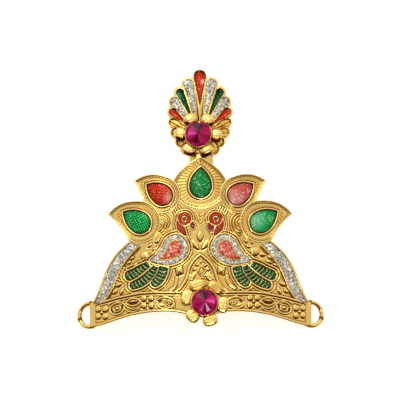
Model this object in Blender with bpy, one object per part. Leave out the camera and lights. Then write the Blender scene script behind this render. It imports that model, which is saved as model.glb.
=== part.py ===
# A crown front for a small deity figure: a cast, gold-plated plate with enamelled petals and two peacocks,
# a plume above it, two rosettes with round pink stones, and a thread ring at each end.
# It lies on its back: X to the right, Y towards the plume, Z up out of its front, and the origin on the
# surface under its middle. The two rings and the plume's tip touch the surface.
#
# Everything is first drawn flat, in millimetres: u across, v up from the rings' lower edge, and a height
# above the plate's back. bend() then wraps it round the head's upright axis and turns it into metres.

import math

import bmesh
import bpy
import numpy as np
from mathutils import Matrix, Vector, geometry

MM = 0.001

# How the crown is wrapped and how it lies, in millimetres
BEND_RADIUS = 100.0  # of the plate, round the head's upright axis
PLUME_RADIUS = 60.0  # the plume is domed a little more
LEAN = -0.1536  # fall of the crest for each millimetre towards the plume, so that its tip touches too
SLICE = 7.0  # width of the flat strips that the bent faces are made of
STRIP_EDGES = np.arange(-8, 9) * SLICE

# Heights above the plate's back, in millimetres
GROUND = 1.3
RELIEF = 1.9
PETAL_TOP = 2.3
CHANNEL_FLOOR = 1.6
POCKET_FLOOR = 0.8
BURIED = 0.4  # where raised work starts inside the ground
GAP = 0.3  # between a piece and its seat
ABOVE = 4.0  # cutters reach this high

# Widths in the drawing, in millimetres
BEZEL = 1.1
PETAL_RIM = 1.4
WALL = 0.75  # the raised wall round each enamel cell
STEP = 0.15  # raised borders stand back from the edge by this
SHARPEST = 0.05  # of a corner's mitre: one plus the cosine of its turn is at least this

# Thread rings
RING_CENTRE = (50.0, 6.7)
RING_RADIUS = 5.6
WIRE_RADIUS = 1.0
RING_SEAT = 45.5  # the u at which the ring lies parallel to the plate
RING_SPARE = 0.1  # the plate's end curves towards the flat ring by this

# Plume
PLUME_FOCUS = (0.2, 87.7)
PLUME_TIP = 117.7
PLUME_THICK = 1.2
PLUME_RIDGE = 0.9  # the ridges between its lobes stand this high
PLUME_SINK = PLUME_THICK + GAP  # its back lies this far behind the plate's back
TAB = [(-4.6, 71.0), (6.0, 71.0), (6.0, 82.0), (-4.6, 82.0)]

# Rosettes and stones, in heights above the rosette's back
PETALS_ROUND = 6
PETAL_AT = 8.3  # from the middle to the two round corners of each petal
PETAL_END = 2.3  # radius of those corners
PETAL_SPREAD = 8.0  # degrees from the petal's aim to each of them
DIP = 7.3  # least reach, between two petals
HUB = 5.0
ROSETTE_RINGS = [(1.0, 0.0), (1.0, 1.5), (0.88, 1.9), (0.65, 0.9), (0.25, 0.8)]
STONE_RADIUS = 5.95
CUP = [(6.1, 1.1), (6.1, 3.2), (5.6, 3.2), (5.6, 1.5)]
STONE_FOOT = 1.8
GIRDLE = (3.65, 3.85)
TABLE = (0.9, 5.5)
STAR = (4.6, 4.5)
POINT_RADIUS = 1.0  # of the stone's flattened point
PAD_RADIUS = 4.5  # of the pad that a rosette is soldered to

MIDDLE = (RING_CENTRE[1] - RING_RADIUS - WIRE_RADIUS + PLUME_TIP) / 2

# Right half of the lower body's outline, from the middle of the lower edge out to the ring and up
LOWER_EDGE = [
    (0, 5.9), (4, 6.4), (8, 7.6), (13, 8.4), (21, 8.3), (30.6, 6.8), (37.2, 4.8), (42.7, 2.9), (46, 2.0),
    (50, 1.7),
]
WING_EDGE = [
    (50, 11.7), (48.2, 13.6), (46.0, 18.5), (44.3, 22.9), (42.6, 27.1), (40.4, 31.2), (37.8, 34.8),
    (34.6, 37.9), (32, 40.2),
]
# Right half of the border between the band and the field
BORDER = [(12, 16.9), (20, 17), (27, 16.7), (33, 15.6), (38, 14.5), (43, 13), (46.5, 11.9)]
# Inner edge of the glitter strip along the wing
STRIP_INNER = [
    (45.5, 12.4), (42.9, 14.5), (40.4, 18.4), (38.6, 22.8), (36.9, 26.8), (34.4, 30.8), (31.2, 34.8),
    (28, 38),
]
STRIP_RIM = 1.0  # from the wing's edge to the strip's pocket
STRIP_WALL = 0.8  # the strip's raised border reaches this far inwards
END_BLOCK = [(47.2, 2.4), (49.85, 2.2), (49.85, 11.6), (47.2, 12.2)]  # plain and raised, beside the ring

# The right-hand petals: round end, point, and the angles where its two long sides leave the round end.
# Each side is a quadratic curve, given by its middle control point.
PETALS = {
    "upper": {
        "centre": (17.4, 60.9), "radius": 8.5, "tip": (29.9, 67.2),
        "top_angle": 103, "top_control": (23, 72.1), "side_angle": -10, "side_control": (27.3, 62.3),
        "drop_centre": (17.0, 60.7), "drop_radius": 4.8, "drop_tip": (24.0, 65.5),
    },
    "lower": {
        "centre": (27.4, 48.7), "radius": 9.5, "tip": (41.8, 52.0),
        "top_angle": 95, "top_control": (36.8, 59.1), "side_angle": -58, "side_control": (35.6, 47.6),
        "drop_centre": (27.2, 48.3), "drop_radius": 4.95, "drop_tip": (34.8, 53.2),
    },
}
MIDDLE_PETAL = {
    "centre": (0, 64.4), "half_width": 12.3, "depth": 9.8, "tip": (0.2, 78.2), "control": (12.8, 71.2),
}
MIDDLE_DROP = {"centre": (0.3, 64.4), "radius": 5.0, "tip": (0.5, 73.3)}
DROP_LEAVE = 90.0  # degrees from its point at which a drop's sides leave the round end
DROP_PULL = 0.58  # how far along them its bulging sides are pulled out

# The right-hand peacock
HEAD = {"centre": (7.1, 50.0), "radius": 2.9, "eye": 1.2}
NECK = [
    (9.9, 49.6), (10.5, 47.4), (9.9, 45.1), (8.5, 43.8), (6.3, 42.4), (6.7, 44.9), (7.6, 46.6), (7.8, 48.1),
]
BODY = [
    (10.6, 43.0), (7.3, 41.2), (5.5, 38.0), (5.9, 34.4), (9.2, 31.1), (14.6, 29.4), (19.0, 29.9),
    (22.6, 31.1), (19.9, 33.8), (17.4, 37.2), (14.9, 41.4),
]
HEART = [
    (11.2, 40.4), (8.9, 38.9), (8.2, 36.8), (9.3, 34.2), (13.1, 32.3), (17.9, 32.1), (15.1, 35.4),
    (13.6, 38.6),
]
# Tail feathers: points along the middle, with the half width there
FEATHERS = {
    "outer": [(23.2, 28.9, 1.2), (25.3, 26.9, 1.6), (28.2, 25.1, 1.9), (31.0, 24.1, 2.1), (33.0, 23.8, 2.0)],
    "middle": [(19.9, 27.9, 1.1), (21.4, 25.2, 1.7), (24.0, 22.6, 1.9), (27.0, 20.7, 1.8), (29.3, 19.7, 1.5)],
    "inner": [(15.9, 27.6, 1.6), (16.6, 25.0, 1.8), (18.1, 22.4, 1.8), (19.5, 20.9, 1.6)],
}
# The two beaks differ in the casting. The left one is drawn here on the right, and mirrored.
BEAKS = {
    "r": [(3.7, 48.2), (6.0, 46.6), (5.2, 44.3), (3.2, 46.3)],
    "l": [(3.3, 48.7), (4.5, 47.1), (3.1, 45.2), (2.4, 47.0)],
}
BEAK_WALL = 0.5
HEART_WALL = 0.45  # thin wall between a body's glitter and its red middle

ARCH = [(0, 34.0), (2.8, 31.5), (4.8, 28.4), (5.6, 25.8), (6.9, 23.0), (8.6, 20.5), (11.8, 17.5)]
STEM = [(10.6, 23.4), (10.7, 21.4), (11.7, 19.6), (13.4, 18.6)]

# Raised leaves of the right half: middle, length, width and direction in degrees
LEAVES = [
    (2.3, 38.4, 4.9, 2.0, 50),
    (19.4, 40.2, 2.4, 1.3, -45), (22.6, 38.0, 2.6, 1.2, -40), (20.6, 36.6, 2.4, 1.1, -35),
    (28.6, 29.9, 3.2, 1.3, -28), (31.8, 29.2, 3.2, 1.3, -28), (29.8, 32.4, 2.8, 1.2, -40),
    (35.8, 19.6, 3.4, 1.4, -12), (37.9, 16.7, 2.8, 1.2, -42), (34.9, 17.1, 2.8, 1.2, -45),
    (30.2, 12.7, 5.0, 2.2, -8),
]
UPRIGHT_LEAF = (0, 42.4, 5.2, 2.5, 90)
SMALL_HEART = {"v": 50.8, "half_width": 1.75, "height": 1.5, "notch": 0.55}
BOSS = (25.2, 33.4, 1.7)  # middle and radius
PYRAMID = [(7.7, 25.6), (10.7, 24.7), (11.3, 28.1), (8.0, 29.3)]  # base of the pointed boss beside the arch
BAND_FLOWERS = [(23.7, 13.0, 1.75), (44.0, 7.9, 1.8)]  # middle, and how far out its lobes lie
BAND_LOBE = 1.0
BAND_SCROLLS = [(15.6, 12.4), (37.6, 9.5)]
SCROLL_RADIUS = 2.7
SCROLL_DOT = 0.9
LINE_HALF_WIDTHS = {"border": 0.55, "edge": 0.5, "arch": 0.8, "stem": 0.4, "scroll": 0.4}

# The plume's lobes, from the top one down the right side: direction from the focus in degrees, reach of
# the tip and of the hollow's root from the focus, radius of the round head, and what fills it
LOBES = [
    (90.0, 30.0, 13.1, 3.2, "red"),
    (77.4, 27.1, 6.0, 3.2, "glitter"),
    (65.2, 24.4, 7.0, 3.0, "green"),
    (53.3, 21.9, 6.0, 3.0, "glitter"),
    (41.0, 19.0, 6.5, 2.8, "red"),
    (26.5, 16.0, 7.0, 2.8, None),
    (7.0, 13.8, 6.0, 2.9, None),
    (-18.0, 12.0, 5.0, 3.0, None),
    (-45.0, 11.6, 4.0, 3.4, None),
]
LOBE_WALL = 0.75
LOBE_ROOT = 2.0  # the ridges between the lobes start this near the focus
PLUME_LEAST = 8.0  # reach of the outline where no lobe is

ROSETTES = {
    "low": {"centre": (1.7, 12.0), "turn": 50.0, "height": RELIEF + GAP, "radius": BEND_RADIUS},
    "top": {
        "centre": (-0.6, 87.7), "turn": 57.5,
        "height": PLUME_THICK + PLUME_RIDGE + GAP - PLUME_SINK, "radius": PLUME_RADIUS,
    },
}

COLOURS = {
    "gold": ((0.83, 0.57, 0.20, 1), 0.25, 1.0),
    "red": ((0.75, 0.06, 0.03, 1), 0.15, 0.0),
    "green": ((0.01, 0.30, 0.09, 1), 0.15, 0.0),
    "glitter": ((0.62, 0.64, 0.66, 1), 0.40, 0.6),
    "pink": ((0.60, 0.01, 0.20, 1), 0.05, 0.0),
}


# Lines and outlines of the flat drawing, as arrays of (u, v)


def arc(centre, radius, start, end, steps):
    angles = np.radians(np.linspace(start, end, steps + 1))
    return np.column_stack([centre[0] + radius * np.cos(angles), centre[1] + radius * np.sin(angles)])


def bow(start, control, end, steps):
    """A quadratic curve from start to end, without its last point."""
    t = np.linspace(0, 1, steps, endpoint=False)[:, None]
    start, control, end = (np.array(p, float) for p in (start, control, end))
    return (1 - t) ** 2 * start + 2 * t * (1 - t) * control + t**2 * end


def smooth(points, per_span=2, closed=False):
    """A Catmull-Rom curve through the points, of any number of columns."""
    points = np.array(points, float)
    if closed:
        padded = np.vstack([points[-1:], points, points[:2]])
    else:
        padded = np.vstack([2 * points[:1] - points[1:2], points, 2 * points[-1:] - points[-2:-1]])
    t = np.arange(per_span)[:, None] / per_span
    spans = []
    for a, b, c, d in zip(padded, padded[1:], padded[2:], padded[3:]):
        spans.append(
            b + t * (c - a) / 2 + t**2 * (2 * a - 5 * b + 4 * c - d) / 2 + t**3 * (3 * b - a - 3 * c + d) / 2
        )
    line = np.vstack(spans)
    return line if closed else np.vstack([line, points[-1:]])


def mirrored(loop):
    """The left-hand copy of a right-hand loop, still counter-clockwise if that was."""
    return (np.array(loop, float) * [-1, 1])[::-1]


def turns_left(loop):
    nxt = np.roll(loop, -1, axis=0)
    return np.sum(loop[:, 0] * nxt[:, 1] - nxt[:, 0] * loop[:, 1]) > 0


def inset(loop, distance):
    """The closed loop moved inwards by distance, or outwards where that is negative."""
    loop = np.array(loop, float)
    if not turns_left(loop):
        loop = loop[::-1]
    ahead = np.roll(loop, -1, axis=0) - loop
    ahead /= np.linalg.norm(ahead, axis=1)[:, None]
    left = np.column_stack([-ahead[:, 1], ahead[:, 0]])
    before = np.roll(left, 1, axis=0)
    corner = left + before
    corner /= np.maximum(np.sum(corner * left, axis=1), SHARPEST)[:, None]
    return loop + corner * distance


def ribbon(line, half_width, round_end=False):
    """The loop round an open line, half_width to each side, with an optional round far end."""
    line = np.array(line, float)
    along = np.gradient(line, axis=0)
    along /= np.linalg.norm(along, axis=1)[:, None]
    side = np.column_stack([-along[:, 1], along[:, 0]]) * np.reshape(half_width, (-1, 1))
    right, left = line - side, line + side
    if not round_end:
        return np.vstack([right, left[::-1]])
    angle = math.degrees(math.atan2(along[-1, 1], along[-1, 0]))
    end = arc(line[-1], np.ravel(half_width)[-1], angle - 90, angle + 90, 5)
    return np.vstack([right[:-1], end, left[-2::-1]])


def feather(points, wider=0.0):
    """A tail feather, or the wall round it: narrow at the body and round at its end."""
    line = smooth(points, 2)
    return ribbon(line[:, :2], line[:, 2] + wider, round_end=True)


def drop(tip, centre, radius, steps=8, leave=DROP_LEAVE, pull=DROP_PULL, side_steps=3):
    """A teardrop: a round end, and two sides that leave it at an angle from its aim and meet at the tip."""
    to_tip = np.array(tip, float) - centre
    aim = math.degrees(math.atan2(to_tip[1], to_tip[0]))
    ending = arc(centre, radius, aim + leave, aim + 360 - leave, steps)
    start, end = ending[0], ending[-1]
    ahead, back = heading(aim + leave - 90), heading(aim - leave + 90)
    first = bow(tip, start + pull * np.dot(ahead, tip - start) * ahead, start, side_steps)
    last = bow(end, end + pull * np.dot(back, tip - end) * back, tip, side_steps)
    return np.vstack([first, ending, last[1:]])


def heading(degrees):
    return np.array([math.cos(math.radians(degrees)), math.sin(math.radians(degrees))])


def lens(u, v, length, width, degrees):
    """A leaf: two shallow bows between its ends."""
    t = np.linspace(-1, 1, 4)
    upper = np.column_stack([t * length / 2, (1 - t**2) * width / 2])
    lower = (upper * [1, -1])[::-1][1:-1]
    turn = math.radians(degrees)
    rotation = np.array([[math.cos(turn), math.sin(turn)], [-math.sin(turn), math.cos(turn)]])
    return np.vstack([upper, lower]) @ rotation + [u, v]


def side_petal(p):
    """Outline of a side petal: hollow outer side, round end, and arched top side, from its tip."""
    ending = arc(p["centre"], p["radius"], p["side_angle"], p["top_angle"] - 360, 12)
    return np.vstack([
        bow(p["tip"], p["side_control"], ending[0], 4),
        ending[:-1],
        bow(ending[-1], p["top_control"], p["tip"], 4),
    ])


def middle_petal(p):
    """Outline of the top petal: half an ellipse below and a pointed arch above."""
    angles = np.radians(np.linspace(180, 360, 13))
    base = np.column_stack([
        p["centre"][0] + p["half_width"] * np.cos(angles),
        p["centre"][1] + p["depth"] * np.sin(angles),
    ])
    right = bow(base[-1], p["control"], p["tip"], 4)
    left = bow(p["tip"], (-p["control"][0], p["control"][1]), base[0], 4)
    return np.vstack([base[:-1], right, left])


def scalloped(heads, least, angles):
    """How far a ring of round heads reaches from the middle, at each angle in radians."""
    reach = np.full(len(angles), float(least))
    for angle, distance, radius in heads:
        off = angles - math.radians(angle)
        across = distance * np.sin(off)
        hit = np.abs(across) < radius
        far = distance * np.cos(off) + np.sqrt(np.maximum(radius**2 - across**2, 0))
        reach = np.where(hit & (np.cos(off) > 0), np.maximum(reach, far), reach)
    return reach


def plume_outline():
    heads = [(angle, reach - radius, radius) for angle, reach, _, radius, _ in LOBES]
    heads += [(180 - angle, distance, radius) for angle, distance, radius in heads[1:]]
    angles = np.radians(np.arange(-90, 270, 5.0))
    reach = scalloped(heads, PLUME_LEAST, angles)
    return np.column_stack([reach * np.cos(angles), reach * np.sin(angles)]) + PLUME_FOCUS


# Solids and how they are joined


def lofted(name, loops, closed=False):
    """A solid through loops of equal length: capped at both ends, or closed into a ring."""
    mesh = bmesh.new()
    rows = [[mesh.verts.new(p) for p in loop] for loop in loops]
    if not closed:
        mesh.faces.new(rows[0])
        mesh.faces.new(rows[-1])
    for lower, upper in zip(rows, rows[1:] + rows[:1] if closed else rows[1:]):
        for i, corner in enumerate(lower):
            j = (i + 1) % len(lower)
            mesh.faces.new((corner, lower[j], upper[j], upper[i]))
    bmesh.ops.recalc_face_normals(mesh, faces=mesh.faces)
    return finished(name, mesh)


def at_height(loop, height):
    return np.column_stack([loop, np.full(len(loop), float(height))])


def pillow(name, loop, low, high, edge=0.35, soft=0.2):
    """A flat piece with a bevelled upper edge, as poured enamel has."""
    top = at_height(inset(loop, edge), high)
    return lofted(name, [at_height(loop, low), at_height(loop, high - soft), top])


def turned(name, profile, steps=24):
    """The profile, as (radius, height) pairs from foot to top, turned round the upright axis."""
    return lofted(name, [at_height(arc((0, 0), r, 0, 360, steps)[:-1], h) for r, h in profile])


def flat(name, loops, low, high):
    """A flat solid between two heights. The first loop is its outline, and any others are holes."""
    loops = [[Vector((*p, low)) for p in loop] for loop in loops]
    mesh = bmesh.new()
    corners = [mesh.verts.new(p) for loop in loops for p in loop]
    if len(loops) == 1:
        faces = [mesh.faces.new(corners)]
    else:
        faces = [mesh.faces.new([corners[i] for i in t]) for t in geometry.tessellate_polygon(loops)]
    bmesh.ops.recalc_face_normals(mesh, faces=faces)
    raised = bmesh.ops.extrude_face_region(mesh, geom=faces)["geom"]
    upper = [part for part in raised if isinstance(part, bmesh.types.BMVert)]
    bmesh.ops.translate(mesh, vec=(0, 0, high - low), verts=upper)
    bmesh.ops.recalc_face_normals(mesh, faces=mesh.faces)
    return finished(name, mesh)


def finished(name, mesh):
    """The bmesh as an object in the scene."""
    data = bpy.data.meshes.new(name)
    mesh.to_mesh(data)
    mesh.free()
    thing = bpy.data.objects.new(name, data)
    bpy.context.scene.collection.objects.link(thing)
    return thing


def joined(body, tools, operation):
    """Adds the tools to the body, or cuts them from it, and removes them."""
    group = bpy.data.collections.new("tools")
    for tool in tools:
        group.objects.link(tool)
    step = body.modifiers.new("join", "BOOLEAN")
    step.operation = operation
    step.solver = "EXACT"
    step.operand_type = "COLLECTION"
    step.collection = group
    evaluated = body.evaluated_get(bpy.context.evaluated_depsgraph_get())
    result = bpy.data.meshes.new_from_object(evaluated)
    body.modifiers.clear()
    body.data = result
    for tool in tools:
        bpy.data.objects.remove(tool)
    bpy.data.collections.remove(group)
    return body


def both_sides(name, loops, low, high):
    """A right-hand solid and its mirror image."""
    left = [mirrored(loop) for loop in loops]
    return [flat(name, loops, low, high), flat(name, left, low, high)]


# Wrapping the flat work round the head


def fall(u, radius):
    """How far a bent surface lies below its crest at u, straight across each strip."""
    edges = radius - np.sqrt(radius**2 - STRIP_EDGES**2)
    return np.interp(u, STRIP_EDGES, edges)


def slope(u, radius):
    """Fall of the bent surface for each millimetre outwards, at u."""
    return u / math.sqrt(radius**2 - u**2)


def ring_frame():
    """Directions along and out of the right-hand ring's plane."""
    across = Vector((1, 0, -slope(RING_SEAT, BEND_RADIUS))).normalized()
    up = Vector((0, 1, LEAN)).normalized()
    return across, up, across.cross(up).normalized()


def ring_drop():
    """How far the ring's middle, and its lowest point, lie below the crest of the plate's back."""
    across, up, out = ring_frame()
    touch = fall(RING_SEAT, BEND_RADIUS) + (WIRE_RADIUS + GAP + RING_SPARE) / out.z
    middle = touch + (RING_CENTRE[0] - RING_SEAT) * slope(RING_SEAT, BEND_RADIUS)
    return middle, middle + RING_RADIUS * math.sqrt(1 - out.z**2) + WIRE_RADIUS


def crest(v):
    """Height of the plate's back along its middle line, above the surface that the crown lies on."""
    return ring_drop()[1] + LEAN * (v - RING_CENTRE[1])


def bend(thing, radius=BEND_RADIUS, behind=0.0):
    """Slices the flat thing into strips, lays them round the bend and turns millimetres into metres."""
    mesh = bmesh.new()
    mesh.from_mesh(thing.data)
    bmesh.ops.remove_doubles(mesh, verts=mesh.verts, dist=0.0005)
    bmesh.ops.dissolve_limit(mesh, angle_limit=0.002, verts=mesh.verts, edges=mesh.edges)
    for u in STRIP_EDGES:
        everything = mesh.verts[:] + mesh.edges[:] + mesh.faces[:]
        bmesh.ops.bisect_plane(mesh, geom=everything, dist=0.0005, plane_co=(u, 0, 0), plane_no=(1, 0, 0))
    for vertex in mesh.verts:
        u, v, height = vertex.co
        z = height - behind + crest(v) - float(fall(u, radius))
        vertex.co = Vector((u, v - MIDDLE, z)) * MM
    bmesh.ops.triangulate(mesh, faces=mesh.faces)
    mesh.to_mesh(thing.data)
    mesh.free()
    return thing


def laid(thing, across, up, out, place):
    """Moves a stiff piece, modelled in millimetres, so that its own axes lie along the given ones."""
    turn = Matrix((across, up, out)).transposed().to_4x4()
    thing.data.transform(Matrix.Diagonal((MM, MM, MM, 1)) @ Matrix.Translation(place) @ turn)
    return thing


def seated(thing, centre, height, radius):
    """Lays a stiff piece on the bent surface at centre."""
    u, v = centre
    across = Vector((1, 0, -slope(u, radius))).normalized()
    out = across.cross(Vector((0, 1, LEAN))).normalized()
    place = Vector((u, v - MIDDLE, crest(v) - float(fall(u, radius)))) + out * height
    return laid(thing, across, out.cross(across), out, place)


def finish_with(thing, colour, smooth_shaded=True):
    """Gives the thing a material of its own, and smooth shading up to its sharp edges."""
    rgba, roughness, metallic = COLOURS[colour]
    material = bpy.data.materials.new(thing.name + "_" + colour)
    material.use_nodes = True
    shader = material.node_tree.nodes["Principled BSDF"]
    shader.inputs["Base Color"].default_value = rgba
    shader.inputs["Roughness"].default_value = roughness
    shader.inputs["Metallic"].default_value = metallic
    material.diffuse_color = rgba
    thing.data.materials.clear()
    thing.data.materials.append(material)
    if smooth_shaded:
        thing.data.shade_smooth()
        thing.data.set_sharp_from_angle(angle=math.radians(30))
    return thing


# The plate


def body_outline():
    """The lower body. Its upper points lie under the petals, which give the crown its upper outline."""
    right = np.vstack([LOWER_EDGE, WING_EDGE])
    inner = np.array([PETALS["lower"]["centre"], PETALS["upper"]["centre"], MIDDLE_PETAL["centre"]], float)
    half = np.vstack([right, inner])
    return np.vstack([half, (half * [-1, 1])[::-1][1:-1]])


def petal_cutters(outline, pocket):
    """The channel between a petal's rim and its bezel, and the pocket for its enamel, as loops."""
    channel = [inset(outline, PETAL_RIM), inset(pocket, -BEZEL)]
    return channel, [pocket]


def add_petal(plate, outlines, pockets):
    plate = joined(plate, [flat("petal", [o], 0, PETAL_TOP) for o in outlines], "UNION")
    cutters = []
    for outline, pocket in zip(outlines, pockets):
        channel, well = petal_cutters(outline, pocket)
        cutters.append(flat("channel", channel, CHANNEL_FLOOR, ABOVE))
        cutters.append(flat("well", well, POCKET_FLOOR, ABOVE))
    return joined(plate, cutters, "DIFFERENCE")


def strip_pocket():
    """The right-hand pocket for the glitter strip, between the wing's rim and the field."""
    return np.vstack([inset_line(WING_EDGE, STRIP_RIM)[1:], STRIP_INNER[::-1]])


def inset_line(line, distance):
    """An open line moved to its left by distance."""
    line = np.array(line, float)
    along = np.gradient(line, axis=0)
    along /= np.linalg.norm(along, axis=1)[:, None]
    return line + np.column_stack([-along[:, 1], along[:, 0]]) * distance


def strip_wall():
    """The raised border of the glitter strip."""
    return np.vstack([inset_line(WING_EDGE, STEP), inset_line(STRIP_INNER[::-1], STRIP_WALL)])


def eye_loop():
    return arc(HEAD["centre"], HEAD["eye"], 0, 360, 8)[:-1]


def head_loop(wider=0.0):
    return arc(HEAD["centre"], HEAD["radius"] + wider, 0, 360, 14)[:-1]


def peacock_walls():
    """Raised walls round the right-hand peacock's cells, as separate overlapping shapes."""
    walls = [head_loop(WALL), inset(smooth(NECK, 2, True), -WALL), inset(smooth(BODY, 2, True), -WALL)]
    return walls + [feather(points, WALL) for points in FEATHERS.values()]


def band_relief():
    """Raised ornament of the band's right half: four-lobed flowers, and scrolls round a dot."""
    loops = []
    for u, v, lobe in BAND_FLOWERS:
        for quarter in range(4):
            loops.append(arc((u, v) + lobe * heading(45 + 90 * quarter), BAND_LOBE, 0, 360, 6)[:-1])
    for u, v in BAND_SCROLLS:
        loops.append(ribbon(arc((u, v), SCROLL_RADIUS, 150, -60, 7), LINE_HALF_WIDTHS["scroll"]))
        loops.append(arc((u - 0.4, v - 0.3), SCROLL_DOT, 0, 360, 6)[:-1])
    return loops


def make_plate():
    plate = flat("crown_plate", [body_outline()], 0, GROUND)
    middle = middle_petal(MIDDLE_PETAL)
    middle_pocket = drop(**MIDDLE_DROP)
    plate = add_petal(plate, [middle], [middle_pocket])
    for p in PETALS.values():
        outline, pocket = side_petal(p), drop(p["drop_tip"], p["drop_centre"], p["drop_radius"])
        plate = add_petal(plate, [outline, mirrored(outline)], [pocket, mirrored(pocket)])

    raised = []
    shapes = peacock_walls() + band_relief() + [
        strip_wall(),
        ribbon(BORDER, LINE_HALF_WIDTHS["border"]),
        ribbon(inset_line(LOWER_EDGE, STEP + LINE_HALF_WIDTHS["edge"])[3:], LINE_HALF_WIDTHS["edge"]),
        ribbon(smooth(ARCH, 2)[1:], LINE_HALF_WIDTHS["arch"]),
        ribbon(smooth(STEM, 2), LINE_HALF_WIDTHS["stem"]),
        END_BLOCK,
        arc(BOSS[:2], BOSS[2], 0, 360, 10)[:-1],
        PYRAMID,
    ]
    shapes += [lens(*leaf) for leaf in LEAVES]
    for shape in shapes:
        raised += both_sides("raised", [shape], BURIED, RELIEF)
    lone = [
        lens(*UPRIGHT_LEAF), heart_loop(), arc(ROSETTES["low"]["centre"], PAD_RADIUS, 0, 360, 16)[:-1],
        inset(BEAKS["r"], -BEAK_WALL), mirrored(inset(BEAKS["l"], -BEAK_WALL)),
    ]
    raised += [flat("raised", [loop], BURIED, RELIEF) for loop in lone]
    plate = joined(plate, raised, "UNION")

    wells = both_sides("well", [strip_pocket()], POCKET_FLOOR, ABOVE)
    for loops in list(cell_loops().values()) + [[smooth(NECK, 2, True)]]:
        wells += both_sides("well", loops, POCKET_FLOOR, ABOVE)
    wells += [flat("well", [loop], POCKET_FLOOR, ABOVE) for loop in (BEAKS["r"], mirrored(BEAKS["l"]))]
    return finish_with(bend(joined(plate, wells, "DIFFERENCE")), "gold")


def heart_loop():
    """The small heart between the peacocks' heads."""
    t = np.radians(np.arange(0, 360, 30))
    rise = SMALL_HEART["height"] * np.cos(t) - SMALL_HEART["notch"] * np.cos(2 * t)
    return np.column_stack([SMALL_HEART["half_width"] * np.sin(t) ** 3, SMALL_HEART["v"] + rise])


def cell_loops():
    """The right-hand peacock's cells, each as an outline with any hole in it."""
    cells = {
        "bird_head": [head_loop(), eye_loop()],
        "bird_glitter": [smooth(BODY, 2, True), inset(smooth(HEART, 2, True), -HEART_WALL)],
        "bird_heart": [smooth(HEART, 2, True)],
    }
    for name, points in FEATHERS.items():
        cells["tail_" + name] = [feather(points)]
    return cells


# Enamel, glitter, rings, plume, rosettes and stones


def fitted(loops):
    """The loops of a cell, drawn in by the gap, with any island's hole drawn out by it."""
    return [inset(loops[0], GAP)] + [inset(loop, -GAP) for loop in loops[1:]]


def make_enamels():
    low = POCKET_FLOOR + GAP
    for side in ("r", "l"):

        def own(loop):
            return loop if side == "r" else mirrored(loop)

        for name, p in PETALS.items():
            loop = inset(own(drop(p["drop_tip"], p["drop_centre"], p["drop_radius"])), GAP)
            piece = pillow("petal_enamel_" + name + "_" + side, loop, low, PETAL_TOP)
            finish_with(bend(piece), "red" if name == "upper" else "green")

        cells = cell_loops()
        names = {
            "bird_head": ("bird_head_enamel_", "red"), "bird_glitter": ("bird_body_glitter_", "glitter"),
            "bird_heart": ("bird_body_enamel_", "red"),
            "tail_outer": ("tail_feather_enamel_1_", "green"),
            "tail_middle": ("tail_feather_enamel_2_", "green"),
            "tail_inner": ("tail_feather_enamel_3_", "green"),
        }
        for cell, (name, colour) in names.items():
            piece = flat(name + side, [own(loop) for loop in fitted(cells[cell])], low, RELIEF)
            if cell == "bird_head":
                neck = flat("neck", [own(inset(smooth(NECK, 2, True), GAP))], low, RELIEF)
                piece = joined(piece, [neck], "UNION")
            finish_with(bend(piece), colour)

        beak = flat("bird_beak_enamel_" + side, [own(inset(BEAKS[side], GAP))], low, RELIEF)
        finish_with(bend(beak), "red")
        strip = flat("side_glitter_" + side, [own(inset(strip_pocket(), GAP))], low, RELIEF)
        finish_with(bend(strip), "glitter")

    centre = inset(drop(**MIDDLE_DROP), GAP)
    finish_with(bend(pillow("petal_enamel_center", centre, low, PETAL_TOP)), "green")


def make_thread_rings():
    across, up, out = ring_frame()
    lowest = ring_drop()[1] - ring_drop()[0]
    for side, sign in (("r", 1), ("l", -1)):
        loops = []
        for turn in np.radians(np.arange(0, 360, 18)):
            section = arc((RING_RADIUS, 0), WIRE_RADIUS, 0, 360, 6)[:-1]
            reach, height = section.T
            loops.append(np.column_stack([reach * math.cos(turn), reach * math.sin(turn), height]))
        ring = lofted("thread_ring_" + side, loops, closed=True)
        square_up = out.cross(across)
        middle = Vector((RING_CENTRE[0], RING_CENTRE[1] - MIDDLE, lowest))
        laid(ring, across, square_up, out, middle)
        ring.data.transform(Matrix.Diagonal((sign, 1, 1, 1)))
        if sign < 0:
            ring.data.flip_normals()
        finish_with(ring, "gold")


def plume_lobes():
    """Every lobe of the plume, right side first and then its mirror image."""
    right = [(*lobe, "r") for lobe in LOBES]
    left = [(180 - angle, *others, "l") for angle, *others in LOBES[1:]]
    return right + left


def make_plume():
    top = PLUME_THICK + PLUME_RIDGE
    shell = flat("plume_shell", [plume_outline()], 0, PLUME_THICK)
    raised = [flat("tab", [TAB], 0, PLUME_THICK)]
    wells = []
    for angle, reach, root, radius, fill, _ in plume_lobes():
        outer = lobe_loop(angle, reach - STEP, LOBE_ROOT, radius - STEP)
        raised.append(flat("lobe", [outer], BURIED, top))
        hollow = lobe_loop(angle, reach - LOBE_WALL, root, radius - LOBE_WALL)
        wells.append(flat("hollow", [hollow], POCKET_FLOOR if fill else PLUME_THICK, ABOVE))
    shell = joined(joined(shell, raised, "UNION"), wells, "DIFFERENCE")
    pad = flat("pad", [arc(PLUME_FOCUS, PAD_RADIUS, 0, 360, 16)[:-1]], BURIED, top)
    shell = joined(shell, [pad], "UNION")
    finish_with(bend(shell, PLUME_RADIUS, PLUME_SINK), "gold")

    number = {"r": 0, "l": 0}
    for angle, reach, root, radius, fill, side in plume_lobes():
        if not fill:
            continue
        number[side] += 1
        name = "plume_" + fill + "_" + (side + str(number[side]) if angle != 90 else "top")
        hollow = lobe_loop(angle, reach - LOBE_WALL, root, radius - LOBE_WALL)
        piece = pillow(name, inset(hollow, GAP), POCKET_FLOOR + GAP, top, 0.3)
        finish_with(bend(piece, PLUME_RADIUS, PLUME_SINK), fill)


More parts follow.
